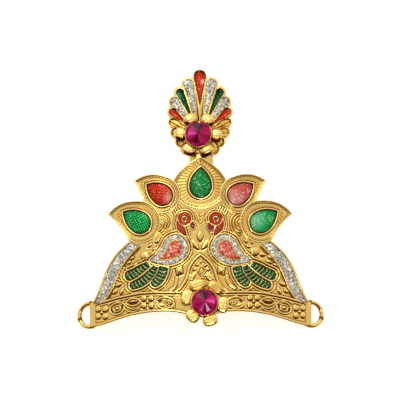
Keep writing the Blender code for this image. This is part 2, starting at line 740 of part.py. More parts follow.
def lobe_loop(angle, reach, root, radius):
    """One lobe of the plume: a straight wedge, pointed towards the focus and round at its head."""
    tip = PLUME_FOCUS + heading(angle) * root
    tangent = math.degrees(math.acos(radius / (reach - radius - root)))
    return drop(tip, PLUME_FOCUS + heading(angle) * (reach - radius), radius, 8, tangent, side_steps=1)


def make_rosette(name, centre, turn, height, radius):
    angles = np.radians(np.arange(0, 360, 9.0))
    aims = [turn + 360 / PETALS_ROUND * k for k in range(PETALS_ROUND)]
    heads = [(aim + spread, PETAL_AT, PETAL_END) for aim in aims for spread in (-PETAL_SPREAD, PETAL_SPREAD)]
    reach = scalloped(heads, DIP, angles)
    rays = np.column_stack([np.cos(angles), np.sin(angles)])
    loops = [at_height(rays * (HUB + f * (reach - HUB))[:, None], h) for f, h in ROSETTE_RINGS]
    flower = lofted("flower_" + name, loops)
    finish_with(seated(flower, centre, height, radius), "gold")

    finish_with(seated(turned("stone_cup_" + name, CUP), centre, height, radius), "gold")
    finish_with(seated(cut_stone("stone_" + name), centre, height, radius), "pink", smooth_shaded=False)


def cut_stone(name):
    """A round brilliant with a small eight-sided table and a flattened point."""
    rings = [
        arc((0, 0), TABLE[0], 0, 360, 8), arc((0, 0), STAR[0], 22.5, 382.5, 8),
        arc((0, 0), STONE_RADIUS, 0, 360, 16), arc((0, 0), STONE_RADIUS, 0, 360, 16),
        arc((0, 0), POINT_RADIUS, 0, 360, 8),
    ]
    heights = [TABLE[1], STAR[1], GIRDLE[1], GIRDLE[0], STONE_FOOT]
    mesh = bmesh.new()
    for ring, height in zip(rings, heights):
        for point in at_height(ring[:-1], height):
            mesh.verts.new(point)
    bmesh.ops.convex_hull(mesh, input=mesh.verts)
    bmesh.ops.recalc_face_normals(mesh, faces=mesh.faces)
    return finished(name, mesh)


def main():
    for thing in list(bpy.data.objects):
        bpy.data.objects.remove(thing)
    make_plate()
    make_enamels()
    make_thread_rings()
    make_plume()
    for name, values in ROSETTES.items():
        make_rosette(name, **values)


main()
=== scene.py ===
# The looks of a small deity crown: a gold-plated casting with poured enamel, glitter and cut stones,
# lying on its back on a pale floor and seen from straight above.
# Everything is drawn flat first, in millimetres: u across, v up from the rings' lower edge and w out of the
# plate's back. Each flat drawing is then wrapped round the head's upright axis and turned into metres.

import math

import bmesh
import bpy
import numpy as np
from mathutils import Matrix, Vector


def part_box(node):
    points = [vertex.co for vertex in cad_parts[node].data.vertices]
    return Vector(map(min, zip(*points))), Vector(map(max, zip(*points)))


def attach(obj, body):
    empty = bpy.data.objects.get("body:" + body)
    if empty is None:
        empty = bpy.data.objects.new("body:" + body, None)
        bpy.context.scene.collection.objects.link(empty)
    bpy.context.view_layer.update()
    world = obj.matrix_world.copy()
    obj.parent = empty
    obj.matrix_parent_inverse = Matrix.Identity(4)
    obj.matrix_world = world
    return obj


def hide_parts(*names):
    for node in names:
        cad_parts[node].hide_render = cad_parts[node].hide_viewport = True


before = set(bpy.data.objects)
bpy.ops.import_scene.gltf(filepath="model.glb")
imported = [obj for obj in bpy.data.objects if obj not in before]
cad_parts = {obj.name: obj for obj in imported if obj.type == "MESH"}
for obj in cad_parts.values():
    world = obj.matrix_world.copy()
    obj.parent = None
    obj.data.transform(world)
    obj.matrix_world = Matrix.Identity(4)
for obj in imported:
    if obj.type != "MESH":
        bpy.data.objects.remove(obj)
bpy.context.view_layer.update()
print("frame loaded:", len(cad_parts), "nodes")

# How the casting lies: the same wrap and lean as its solids
lie = {"bend": 100.0, "lean": -0.1536, "crest": 19.589, "middle": 58.9, "plumeBend": 60.0, "plumeSink": 1.5}


# Lines of the flat drawing

def heading(degrees):
    return np.array([math.cos(math.radians(degrees)), math.sin(math.radians(degrees))])


def arcLine(centre, radius, start, end, steps):
    # points at even angles on a circle
    angles = np.radians(np.linspace(start, end, steps + 1))
    return np.column_stack([centre[0] + radius * np.cos(angles), centre[1] + radius * np.sin(angles)])


def circleLoop(centre, radius, steps=24):
    return arcLine(centre, radius, 0, 360, steps)[:-1]


def bowLine(start, control, end, steps):
    # quadratic curve (1-t)^2 a + 2t(1-t) b + t^2 c, without its last point
    t = np.linspace(0, 1, steps, endpoint=False)[:, None]
    start, control, end = (np.array(p, float) for p in (start, control, end))
    return (1 - t) ** 2 * start + 2 * t * (1 - t) * control + t**2 * end


def smoothLine(points, perSpan=6, closed=False):
    # Catmull-Rom cubic through the points, any number of columns
    points = np.array(points, float)
    if closed:
        padded = np.vstack([points[-1:], points, points[:2]])
    else:
        padded = np.vstack([2 * points[:1] - points[1:2], points, 2 * points[-1:] - points[-2:-1]])
    t = np.arange(perSpan)[:, None] / perSpan
    spans = [
        b + t * (c - a) / 2 + t**2 * (2 * a - 5 * b + 4 * c - d) / 2 + t**3 * (3 * b - a - 3 * c + d) / 2
        for a, b, c, d in zip(padded, padded[1:], padded[2:], padded[3:])
    ]
    line = np.vstack(spans)
    return line if closed else np.vstack([line, points[-1:]])


def travelledAlong(line):
    # the distance from the line's start to each of its points
    return np.concatenate([[0], np.cumsum(np.linalg.norm(np.diff(line, axis=0), axis=1))])


def evenly(line, count):
    # the open line again, with count + 1 points at even steps of its length
    along = travelledAlong(line)
    places = np.linspace(0, along[-1], count + 1)
    return np.column_stack([np.interp(places, along, line[:, k]) for k in range(line.shape[1])])


def evenLoop(loop, count):
    return evenly(np.vstack([loop, loop[:1]]), count)[:-1]


def loopLength(loop):
    return np.linalg.norm(np.roll(loop, -1, axis=0) - loop, axis=1).sum()


def startNear(loop, point):
    # the same loop from its point nearest to the given one
    return np.roll(loop, -np.argmin(np.linalg.norm(loop - point, axis=1)), axis=0)


def counterclockwise(loop):
    # the same loop turning left, with its first point kept first
    after = np.roll(loop, -1, axis=0)
    area = np.sum(loop[:, 0] * after[:, 1] - after[:, 0] * loop[:, 1])
    return loop if area > 0 else np.roll(loop[::-1], 1, axis=0)


def insetLoop(loop, distance):
    # every corner moved inwards along its mitre, or outwards for a negative distance
    ahead = np.roll(loop, -1, axis=0) - loop
    ahead /= np.linalg.norm(ahead, axis=1)[:, None]
    left = np.column_stack([-ahead[:, 1], ahead[:, 0]])
    corner = left + np.roll(left, 1, axis=0)
    corner /= np.maximum(np.sum(corner * left, axis=1), 0.12)[:, None]
    return loop + corner * distance


def insetShape(loop, distance):
    # the same, without the corners that cross over near a sharp tip, which stays first
    moved = insetLoop(loop, distance)
    keep = nearest(moved, loop)[0] > abs(distance) * 0.96
    keep[0] = True
    return moved[keep]


def leftOf(line):
    # unit directions square to an open line, on its left
    along = np.gradient(line, axis=0)
    along /= np.linalg.norm(along, axis=1)[:, None]
    return np.column_stack([-along[:, 1], along[:, 0]])


def insetLine(line, distance):
    # an open line moved to its left
    line = np.array(line, float)
    return line + leftOf(line) * distance


def roundLoop(loop, count):
    return evenLoop(smoothLine(loop, 8, closed=True), count)


def dropLoop(tip, centre, radius, leave=90.0, pull=0.58, steps=24, sideSteps=10):
    # teardrop: an arc, and two quadratic sides that leave it at an angle from its aim and meet at the tip
    toTip = np.array(tip, float) - centre
    aim = math.degrees(math.atan2(toTip[1], toTip[0]))
    ending = arcLine(centre, radius, aim + leave, aim + 360 - leave, steps)
    ahead, back = heading(aim + leave - 90), heading(aim - leave + 90)
    first = bowLine(tip, ending[0] + pull * np.dot(ahead, tip - ending[0]) * ahead, ending[0], sideSteps)
    last = bowLine(ending[-1], ending[-1] + pull * np.dot(back, tip - ending[-1]) * back, tip, sideSteps)
    return np.vstack([first, ending, last[1:]])


def lensLoop(u, v, length, width, degrees):
    # a leaf: two parabolas between its ends
    t = np.linspace(-1, 1, 13)
    upper = np.column_stack([t * length / 2, (1 - t**2) * width / 2])
    loop = np.vstack([upper, (upper * [1, -1])[::-1][1:-1]])
    turn = math.radians(degrees)
    turned = loop @ np.array([[math.cos(turn), math.sin(turn)], [-math.sin(turn), math.cos(turn)]]) + [u, v]
    return counterclockwise(turned)


# Distances in the drawing, for whole arrays of points

def nearest(points, line, closed=True):
    # least distance to the line's segments, and how far along the line that place is
    ends = np.roll(line, -1, axis=0) if closed else line[1:]
    best = np.full(len(points), 1e9)
    where = np.zeros(len(points))
    travelled = 0.0
    for start, end in zip(line, ends):
        along = end - start
        length = np.linalg.norm(along)
        if length < 1e-9:
            continue
        t = np.clip((points - start) @ along / length**2, 0, 1)
        off = np.hypot(points[:, 0] - start[0] - t * along[0], points[:, 1] - start[1] - t * along[1])
        nearer = off < best
        best = np.where(nearer, off, best)
        where = np.where(nearer, travelled + t * length, where)
        travelled += length
    return best, where


def inside(points, loop):
    # even-odd count of the sides that a line to the right crosses
    crossed = np.zeros(len(points), bool)
    for (x1, y1), (x2, y2) in zip(loop, np.roll(loop, -1, axis=0)):
        if y1 == y2:
            continue
        spans = (points[:, 1] > min(y1, y2)) & (points[:, 1] <= max(y1, y2))
        at = x1 + (points[:, 1] - y1) * (x2 - x1) / (y2 - y1)
        crossed ^= spans & (at > points[:, 0])
    return crossed


def near(points, line, margin):
    low, high = line.min(axis=0) - margin, line.max(axis=0) + margin
    return np.where(((points > low) & (points < high)).all(axis=1))[0]


def halfRound(away, halfWidth):
    # the height of a half circle, sqrt(1 - (distance / half width)^2), and 0 beyond it
    return np.sqrt(np.clip(1 - (away / halfWidth) ** 2, 0, 1))


class Relief:
    # heights over a set of drawing points, raised and sunk one feature after another
    def __init__(self, points, ground):
        self.points = points
        self.height = np.full(len(points), float(ground))
        self.dug = np.zeros(len(points))
        self.stained = np.zeros(len(points))
        self.ground = float(ground)

    def lift(self, some, rise):
        self.height[some] = np.maximum(self.height[some], self.ground + rise)

    def dig(self, some, away, reach, depth=0.05):
        # a sine-shaped moat at a raised form's foot, and painted shade that fades from it as cos^2
        t = np.clip(away / reach, 0, 1)
        self.dug[some] = np.maximum(self.dug[some], depth * np.sin(np.pi * t))
        self.stained[some] = np.maximum(self.stained[some], np.cos(np.pi / 2 * t) ** 2)

    def bead(self, line, halfWidth, top, closed=False, moat=0.42):
        # a half-round ridge between two moats
        line = np.array(line, float)
        some = near(self.points, line, halfWidth + moat)
        away = nearest(self.points[some], line, closed)[0]
        self.lift(some, (top - self.ground) * halfRound(away, halfWidth))
        self.dig(some, away - halfWidth, moat)

    def dome(self, loop, top, shoulder, moat=0.4, shade=(0.0, -0.4), fullness=2):
        # rises from the loop's edge over the shoulder's width as (1 - (1 - t)^n)^(1/n); the shade moves its
        # moat, which makes it wider below
        some = near(self.points, loop, moat + 0.3)
        points = self.points[some]
        t = np.clip(nearest(points, loop)[0] / shoulder, 0, 1)
        rise = (top - self.ground) * (1 - (1 - t) ** fullness) ** (1 / fullness)
        self.lift(some, np.where(inside(points, loop), rise, 0))
        shifted = loop + np.array(shade)
        away = np.where(inside(points, shifted), 0, nearest(points, shifted)[0])
        self.dig(some, away, moat, 0.12)

    def contour(self, loops, distance, halfWidth, top, moat):
        # a ridge that runs at one distance outside several loops taken together
        some = near(self.points, np.vstack(loops), distance + halfWidth + moat)
        away = np.full(len(some), 1e9)
        for loop in loops:
            here = np.where(inside(self.points[some], loop), 0, nearest(self.points[some], loop)[0])
            away = np.minimum(away, here)
        off = np.abs(away - distance)
        self.lift(some, (top - self.ground) * halfRound(off, halfWidth))
        self.dig(some, off - halfWidth, moat)

    def within(self, loop):
        some = near(self.points, loop, 0)
        return some[inside(self.points[some], loop)]

    def sink(self, loop, floor):
        # a flat cell, whatever was there before
        some = self.within(loop)
        self.height[some] = floor
        self.dug[some] = 0
        self.stained[some] = 0

    def slit(self, loop, depth=0.1):
        # a dark cut in the ground: it sinks a little and holds the most painted shade
        some = self.within(loop)
        self.dug[some] = depth
        self.stained[some] = 1.5

    def surface(self):
        return self.height - self.dug * (self.height < self.ground + 0.05)

    def tarnish(self):
        # painted shade: each foot's fall, kept only where the surface lies near the ground
        return self.stained * np.clip(1.5 - (self.height - self.ground) / 0.1, 0, 1)


def blurred(w, reach):
    # the mean over a square of neighbours on the grid, for telling hollows from ridges
    wide = 2 * reach + 1
    for axis in (0, 1):
        padded = np.concatenate([w.take([0] * reach, axis), w, w.take([-1] * reach, axis)], axis)
        total = np.cumsum(np.concatenate([padded.take([0], axis) * 0, padded], axis), axis)
        n = w.shape[axis]
        w = (total.take(range(wide, n + wide), axis) - total.take(range(n), axis)) / wide
    return w


def hollowness(w, reach=3, plain=0.64, contrast=1.6):
    # the plain ground's value, less in narrow hollows as painted shade and more on ridges as painted
    # highlight, kept for the metal's colour
    return np.clip(plain + contrast * (w - blurred(w, reach)), 0, 1)


# From the drawing to meshes in metres

def fallAt(u, radius):
    return radius - np.sqrt(radius**2 - u**2)


def wrap(uv, w, bend=None, sink=0.0):
    # x = u, y = v from the middle, z = w + the crest's height at v - the bend's fall at u
    u, v, w = np.broadcast_arrays(uv[..., 0], uv[..., 1], w)
    z = w - sink + lie["crest"] + lie["lean"] * v - fallAt(u, bend or lie["bend"])
    return np.stack([u, v - lie["middle"], z], axis=-1) * 0.001


def squareTo(u, bend):
    # the directions across, up and out of the bent surface at u
    across = Vector((1, 0, -u / math.sqrt(bend**2 - u**2))).normalized()
    out = across.cross(Vector((0, 1, lie["lean"]))).normalized()
    return across, out.cross(across), out


def stiff(points, place):
    # a piece round its own upright axis, laid square on the bent surface at its centre
    (u, v), bend = place["centre"], place["bend"]
    across, up, out = squareTo(u, bend)
    foot = Vector((u, v - lie["middle"], lie["crest"] + lie["lean"] * v - fallAt(u, bend)))
    foot += out * place["height"]
    return (points @ np.array([across[:], up[:], out[:]]) + np.array(foot[:])) * 0.001


weldReach = 2e-6  # metres: corners nearer than this become one
sharpFrom = 65.0  # degrees: steeper folds keep a sharp edge


def gridFaces(rows, columns, closed):
    # the four corner numbers of every cell in a rows x columns grid
    wide = columns if closed else columns - 1
    r, c = np.meshgrid(np.arange(rows - 1), np.arange(wide), indexing="ij")
    after = (c + 1) % columns
    low, high = r * columns, (r + 1) * columns
    return np.stack([low + c, low + after, high + after, high + c], -1)


def addObject(name, data):
    item = bpy.data.objects.new(name, data)
    bpy.context.scene.collection.objects.link(item)
    return item


def finishPiece(name, mesh, material, replaced):
    mesh.materials.append(material)
    piece = addObject(name, mesh)
    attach(piece, "root")
    if replaced:
        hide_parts(*replaced)


def keepDepth(mesh, values, domain):
    layer = mesh.attributes.new("depth", "FLOAT", domain)
    layer.data.foreach_set("value", values.astype(np.float32))


def buildPiece(name, patches, material, slot, replaced=()):
    # joins grids of points into one closed mesh; each patch is (rows x columns x 3 points, closed, depth),
    # and the depth is the metal's painted shine and shade or the enamel's painted share of light, for the
    # materials
    spots, quads, depths, start = [], [], [], 0
    for points, closed, depth in patches:
        rows, columns = points.shape[:2]
        spots.append(points.reshape(-1, 3))
        quads.append(gridFaces(rows, columns, closed).reshape(-1, 4) + start)
        depths.append(np.broadcast_to(depth, (rows, columns)).ravel())
        start += rows * columns
    spots, quads, depths = np.vstack(spots), np.vstack(quads), np.concatenate(depths)
    mesh = bpy.data.meshes.new(name)
    mesh.vertices.add(len(spots))
    mesh.vertices.foreach_set("co", spots.astype(np.float32).ravel())
    mesh.loops.add(quads.size)
    mesh.loops.foreach_set("vertex_index", quads.astype(np.int32).ravel())
    mesh.polygons.add(len(quads))
    mesh.polygons.foreach_set("loop_start", np.arange(0, quads.size, 4, dtype=np.int32))
    mesh.update(calc_edges=True)
    keepDepth(mesh, depths, "POINT")
    welded = bmesh.new()
    welded.from_mesh(mesh)
    bmesh.ops.remove_doubles(welded, verts=welded.verts, dist=weldReach)
    bmesh.ops.recalc_face_normals(welded, faces=welded.faces)
    welded.to_mesh(mesh)
    welded.free()
    mesh.shade_smooth()
    mesh.set_sharp_from_angle(angle=math.radians(sharpFrom))
    finishPiece(name, mesh, material, replaced)


# Materials

def linear(code):
    # sRGB hex to the linear colour that the shader wants
    values = [int(code[i:i + 2], 16) / 255 for i in (1, 3, 5)]
    return tuple(c / 12.92 if c <= 0.04045 else ((c + 0.055) / 1.055) ** 2.4 for c in values) + (1.0,)


def addNode(tree, kind, settings=None):
    # each setting is a property, the value of an input, or the socket that feeds it
    node = tree.nodes.new("ShaderNode" + kind)
    for key, value in (settings or {}).items():
        if isinstance(value, bpy.types.NodeSocket):
            tree.links.new(value, node.inputs[key])
        elif isinstance(key, str) and hasattr(node, key):
            setattr(node, key, value)
        else:
            node.inputs[key].default_value = value
    return node


def newMaterial(name, settings):
    material = bpy.data.materials.new(name)
    material.use_nodes = True
    shader = material.node_tree.nodes["Principled BSDF"]
    for key, value in settings.items():
        shader.inputs[key].default_value = value
    return material, material.node_tree, shader


def objectPlace(tree):
    return addNode(tree, "TexCoord").outputs["Object"]


def keptDepth(tree):
    return addNode(tree, "Attribute", {"attribute_name": "depth"}).outputs["Fac"]


def colourRamp(tree, source, stops, blend="LINEAR"):
    ramp = addNode(tree, "ValToRGB", {"Fac": source})
    ramp.color_ramp.interpolation = blend
    while len(ramp.color_ramp.elements) < len(stops):
        ramp.color_ramp.elements.new(0.5)
    for element, (place, code) in zip(ramp.color_ramp.elements, stops):
        element.position = place
        element.color = linear(code)
    return ramp.outputs["Color"]


# the gold's tones run from deep, the painted shade, through mid to bright, the painted highlight
goldValues = {
    "bright": "#E2C474", "mid": "#CC9642", "deep": "#5C2E00", "roughness": (0.12, 0.24),
    "cloudSize": 4.5, "grainSize": 0.8, "grain": 0.07,  # millimetres, and the bump's strength
}


def platedGold():
    # gold-plated brass casting: satin, pale on the ridges as a painted highlight and brown in the hollows and
    # at the feet of raised lines as painted shade, with a faint cast grain that breaks up the reflections
    material, tree, shader = newMaterial("platedGoldCasting", {"Metallic": 1.0})
    depth = keptDepth(tree)
    place = objectPlace(tree)
    cloud = addNode(tree, "TexNoise", {
        "Scale": 1000 / goldValues["cloudSize"], "Detail": 3.0, "Vector": place})
    mixed = addNode(tree, "Math", {"operation": "MULTIPLY_ADD", 0: cloud.outputs["Fac"], 1: 0.14, 2: depth})
    colour = colourRamp(tree, mixed.outputs[0], [
        (0.1, goldValues["deep"]), (0.45, goldValues["mid"]), (0.85, goldValues["bright"])])
    tree.links.new(colour, shader.inputs["Base Color"])
    shiny, dull = goldValues["roughness"]
    rough = addNode(tree, "MapRange", {"To Min": dull, "To Max": shiny, "Value": cloud.outputs["Fac"]})
    tree.links.new(rough.outputs["Result"], shader.inputs["Roughness"])
    grain = addNode(tree, "TexNoise", {
        "Scale": 1000 / goldValues["grainSize"], "Detail": 2.0, "Vector": place})
    bump = addNode(tree, "Bump", {
        "Strength": goldValues["grain"], "Distance": 0.00005, "Height": grain.outputs["Fac"]})
    tree.links.new(bump.outputs["Normal"], shader.inputs["Normal"])
    return material


def enamel(name, look):
    # poured enamel: a glossy skin with specks, painted sheen in pale patches at random and a painted
    # highlight spot, over a cell floor cut with a fine grid, and painted shade at the cell's wall, where
    # "depth" is 0; grid and specks are coarser than real ones, to show
    material, tree, shader = newMaterial(name, {
        "Roughness": 0.3, "Metallic": 0.25, "Specular IOR Level": 0.06, "Coat Weight": 0.1,
        "Coat Roughness": 0.06})
    place = objectPlace(tree)
    turned = addNode(tree, "Mapping", {
        "Rotation": (0, 0, math.radians(look.get("turn", 0))), "Scale": (1000, 1000, 1000),
        "Vector": place})
    wide, high = look["grid"]
    floor = addNode(tree, "TexBrick", {
        "offset": 0.0, "Scale": 1.0, "Brick Width": wide, "Row Height": high, "Mortar Size": look["line"],
        "Mortar Smooth": 0.6, "Color1": linear(look["light"]), "Color2": linear(look["body"]),
        "Mortar": linear(look["dark"]), "Vector": turned.outputs[0]})
    # painted sheen: pale patches at random, and a painted highlight spot round a given point
    cloud = addNode(tree, "TexNoise", {"Scale": 240.0, "Detail": 2.0, "Vector": place})
    patch = addNode(tree, "MapRange", {
        "From Min": 0.45, "From Max": 0.75, "To Max": look["sheen"], "Value": cloud.outputs["Fac"]})
    x, y, radius, strength = look.get("highlightSpot", (0, 0, 1, 0))
    centred = addNode(tree, "Mapping", {
        "Location": (-x / radius, -y / radius, 0), "Scale": (1000 / radius, 1000 / radius, 0),
        "Vector": place})
    highlightSpot = addNode(tree, "TexGradient", {"gradient_type": "SPHERICAL", "Vector": centred.outputs[0]})
    sheenShare = addNode(tree, "Math", {
        "operation": "MULTIPLY_ADD", 0: highlightSpot.outputs["Fac"], 1: strength, 2: patch.outputs["Result"]})
    sheened = addNode(tree, "Mix", {
        "data_type": "RGBA", 0: sheenShare.outputs[0], 6: floor.outputs["Color"], 7: linear(look["pale"])})
    specks = addNode(tree, "TexVoronoi", {"Scale": 2900.0, "Vector": place})
    pick = addNode(tree, "SeparateColor", {"Color": specks.outputs["Color"]})
    chosen = addNode(tree, "Math", {
        "operation": "GREATER_THAN", 0: pick.outputs["Red"], 1: 1 - look["specks"]})
    dusted = addNode(tree, "Mix", {
        "data_type": "RGBA", 0: chosen.outputs[0], 6: sheened.outputs[2], 7: linear(look["speck"])})
    depth = keptDepth(tree)
    # painted shade: the colour darkens to the edge colour at the cell's wall, where depth is 0
    edged = addNode(tree, "Mix", {
        "data_type": "RGBA", 0: depth, 6: linear(look.get("edge", "#140A04")), 7: dusted.outputs[2]})
    tree.links.new(edged.outputs[2], shader.inputs["Base Color"])
    return material


def glitter(name, stops, tilt):
    # loose metal flakes in clear resin: each flake, drawn 0.6 mm wide, has its own colour and its own tilt
    material, tree, shader = newMaterial(name, {
        "Metallic": 0.2, "Roughness": 0.36, "Coat Weight": 0.12, "Coat Roughness": 0.12})
    place = objectPlace(tree)
    flakes = addNode(tree, "TexVoronoi", {"Scale": 1750.0, "Vector": place})
    pick = addNode(tree, "SeparateColor", {"Color": flakes.outputs["Color"]})
    tree.links.new(colourRamp(tree, pick.outputs["Red"], stops, "CONSTANT"), shader.inputs["Base Color"])
    centred = addNode(tree, "VectorMath", {
        "operation": "SUBTRACT", 0: flakes.outputs["Color"], 1: (0.5, 0.5, 0.5)})
    scaled = addNode(tree, "VectorMath", {"operation": "SCALE", "Scale": tilt, 0: centred.outputs[0]})
    surface = addNode(tree, "NewGeometry")
    leaning = addNode(tree, "VectorMath", {
        "operation": "ADD", 0: surface.outputs["Normal"], 1: scaled.outputs[0]})
    unit = addNode(tree, "VectorMath", {"operation": "NORMALIZE", 0: leaning.outputs[0]})
    tree.links.new(unit.outputs[0], shader.inputs["Normal"])
    return material


def foiledGlass():
    # pink cut glass with foil behind: each facet's painted reflection is its own share of light, kept in
    # "depth"
    material, tree, shader = newMaterial("foiledPinkGlass", {
        "Metallic": 0.4, "Roughness": 0.12, "Specular IOR Level": 0.12, "Coat Weight": 0.12,
        "Coat Roughness": 0.02})
    depth = keptDepth(tree)
    colour = colourRamp(tree, depth, [
        (0.0, "#1C0008"), (0.3, "#66042A"), (0.55, "#9E0A46"), (0.8, "#C82A80"), (0.9, "#E060AC"),
        (1.0, "#E8BCCC")])
    tree.links.new(colour, shader.inputs["Base Color"])
    return material


enamels = {  # grid cells in millimetres; a painted highlight spot is (x, y, radius) in millimetres, and its strength
    "middle": {
        "body": "#078C35", "light": "#12A349", "dark": "#02300F", "pale": "#4CA874", "speck": "#A8D8B8",
        "grid": (0.8, 0.9), "line": 0.16, "sheen": 0.15, "specks": 0.06, "turn": 10},
    "upperL": {
        "body": "#C42A06", "light": "#DC3A0A", "dark": "#7C1400", "pale": "#D88A72", "speck": "#E8A58E",
        "grid": (0.9, 1.3), "line": 0.18, "sheen": 0.1, "specks": 0.02, "turn": 8,
        "highlightSpot": (-13.6, 0.2, 3.6, 1.2)},
    "upperR": {
        "body": "#C0493E", "light": "#CC5A4C", "dark": "#983228", "pale": "#D49A90", "speck": "#F2D2CA",
        "grid": (0.9, 0.9), "line": 0.08, "sheen": 0.2, "specks": 0.08, "turn": 30,
        "highlightSpot": (14.6, -0.6, 6.0, 0.8)},
    "lowerL": {
        "body": "#06AA42", "light": "#26D465", "dark": "#014414", "pale": "#5FCB88", "speck": "#A6E4BC",
        "grid": (1.0, 1.1), "line": 0.24, "sheen": 0.2, "specks": 0.03, "turn": -25},
    "lowerR": {
        "body": "#099540", "light": "#1CA852", "dark": "#046826", "pale": "#8AD2A8", "speck": "#D4F2E0",
        "grid": (1.0, 1.0), "line": 0.09, "sheen": 0.2, "specks": 0.03, "turn": 25,
        "highlightSpot": (25.0, -9.6, 5.5, 0.65)},
    "bird": {
        "body": "#A22A1A", "light": "#B0341E", "dark": "#7C1A0E", "pale": "#C87A68", "speck": "#D98F7C",
        "grid": (1.1, 1.1), "line": 0.05, "sheen": 0.15, "specks": 0.03},
    "beak": {
        "body": "#8A1A1C", "light": "#9A2A28", "dark": "#540C14", "pale": "#B06666", "speck": "#D9A2A2",
        "grid": (0.9, 0.9), "line": 0.05, "sheen": 0.3, "specks": 0.05},
    "feather": {
        "body": "#04481C", "light": "#16823C", "dark": "#001806", "pale": "#4FA070", "speck": "#8FCFA5",
        "grid": (0.7, 0.9), "line": 0.24, "sheen": 0.15, "specks": 0.05, "turn": 30},
    "plumeRed": {
        "body": "#B62604", "light": "#C43008", "dark": "#8A1A04", "pale": "#F2C6B0", "speck": "#E8A58E",
        "edge": "#3A0400", "grid": (1.4, 1.4), "line": 0.05, "sheen": 0.04, "specks": 0.015,
        "highlightSpot": (2.0, 53.0, 1.7, 0.9)},
    "plumeGreen": {
        "body": "#033A1A", "light": "#074A24", "dark": "#011C0A", "pale": "#6FBF8F", "speck": "#7FBF95",
        "edge": "#000C04", "grid": (1.2, 1.2), "line": 0.05, "sheen": 0.06, "specks": 0.015,
        "highlightSpot": (-10.4, 46.4, 2.6, 0.8)},
}
gold = platedGold()
enamelled = {name: enamel(name + "Enamel", look) for name, look in enamels.items()}
silver = glitter("silverGlitter", [
    (0.0, "#504F48"), (0.14, "#888675"), (0.34, "#B0AC97"), (0.54, "#D0CAB3"), (0.7, "#9AA8B6"),
    (0.8, "#D2BAAA"), (0.87, "#EAE5D2"), (0.94, "#FFFCF0")], 0.32)
coral = glitter("coralGlitter", [
    (0.0, "#8C1206"), (0.25, "#BE2C0C"), (0.55, "#D04626"), (0.76, "#CE7450"), (0.9, "#EAC4AE")], 0.4)
pinkGlass = foiledGlass()
print("materials made")

# Petals: smooth rim, rope, fine bead, ribbed channel and bezel round an enamel drop. The first row holds
# widths and the next two hold heights; ribs and rope are coarser than the real ones, so that they show

petals = {
    "columns": 420, "rim": 0.85, "rope": 0.5, "bead": 0.12, "bezel": 0.85, "groove": 0.25,
    "wallTop": 1.95, "rimTop": 2.14, "ropeTop": 2.0, "beadTop": 1.74, "channel": 1.72, "bezelTop": 2.26,
    "bezelFoot": 1.98, "floor": 1.1, "hidden": 1.0,
    "ribPitch": 1.15, "ribRise": 0.06, "ropePitch": 1.4, "shine": 0.7,
    "gap": 0.12, "drop": (1.15, 1.6, 2.1),  # the enamel's distance from its wall, and its three heights
    "upper": {
        "centre": (17.4, 60.9), "radius": 8.5, "tip": (29.9, 67.2), "topAngle": 103,
        "topControl": (23, 72.1), "sideAngle": -10, "sideControl": (27.3, 62.3), "ribs": 1.5,
        "dropTip": (24.0, 65.5), "dropCentre": (17.0, 60.7), "dropRadius": 4.8,
    },
    "lower": {
        "centre": (27.4, 48.7), "radius": 9.5, "tip": (41.8, 52.0), "topAngle": 95,
        "topControl": (36.8, 59.1), "sideAngle": -58, "sideControl": (35.6, 47.6), "ribs": 1.7,
        "dropTip": (34.8, 53.2), "dropCentre": (27.2, 48.3), "dropRadius": 4.95,
    },
    "middle": {
        "centre": (0, 64.4), "halfWidth": 12.3, "depth": 9.8, "tip": (0.2, 78.2), "control": (12.8, 71.2),
        "ribs": 5.0, "dropTip": (0.5, 73.3), "dropCentre": (0.3, 64.4), "dropRadius": 5.0,
    },
}


def sidePetal(p):
    ending = arcLine(p["centre"], p["radius"], p["sideAngle"], p["topAngle"] - 360, 40)
    return counterclockwise(np.vstack([
        bowLine(p["tip"], p["sideControl"], ending[0], 14), ending[:-1],
        bowLine(ending[-1], p["topControl"], p["tip"], 14)]))


def middlePetal(p):
    # half an ellipse below, and two quadratic sides up to the tip
    angles = np.radians(np.linspace(180, 360, 40))
    base = np.column_stack([p["halfWidth"] * np.cos(angles), p["depth"] * np.sin(angles)]) + p["centre"]
    right = bowLine(base[-1], p["control"], p["tip"], 14)
    left = bowLine(p["tip"], (-p["control"][0], p["control"][1]), base[0], 14)
    return np.vstack([left, base[:-1], right])


def petalPocket(p):
    return counterclockwise(dropLoop(p["dropTip"], p["dropCentre"], p["dropRadius"]))


def sideways(loop, side):
    # the loop for one side of the crown, still turning left and still starting at its tip
    return loop if side > 0 else counterclockwise(loop * [-1, 1])


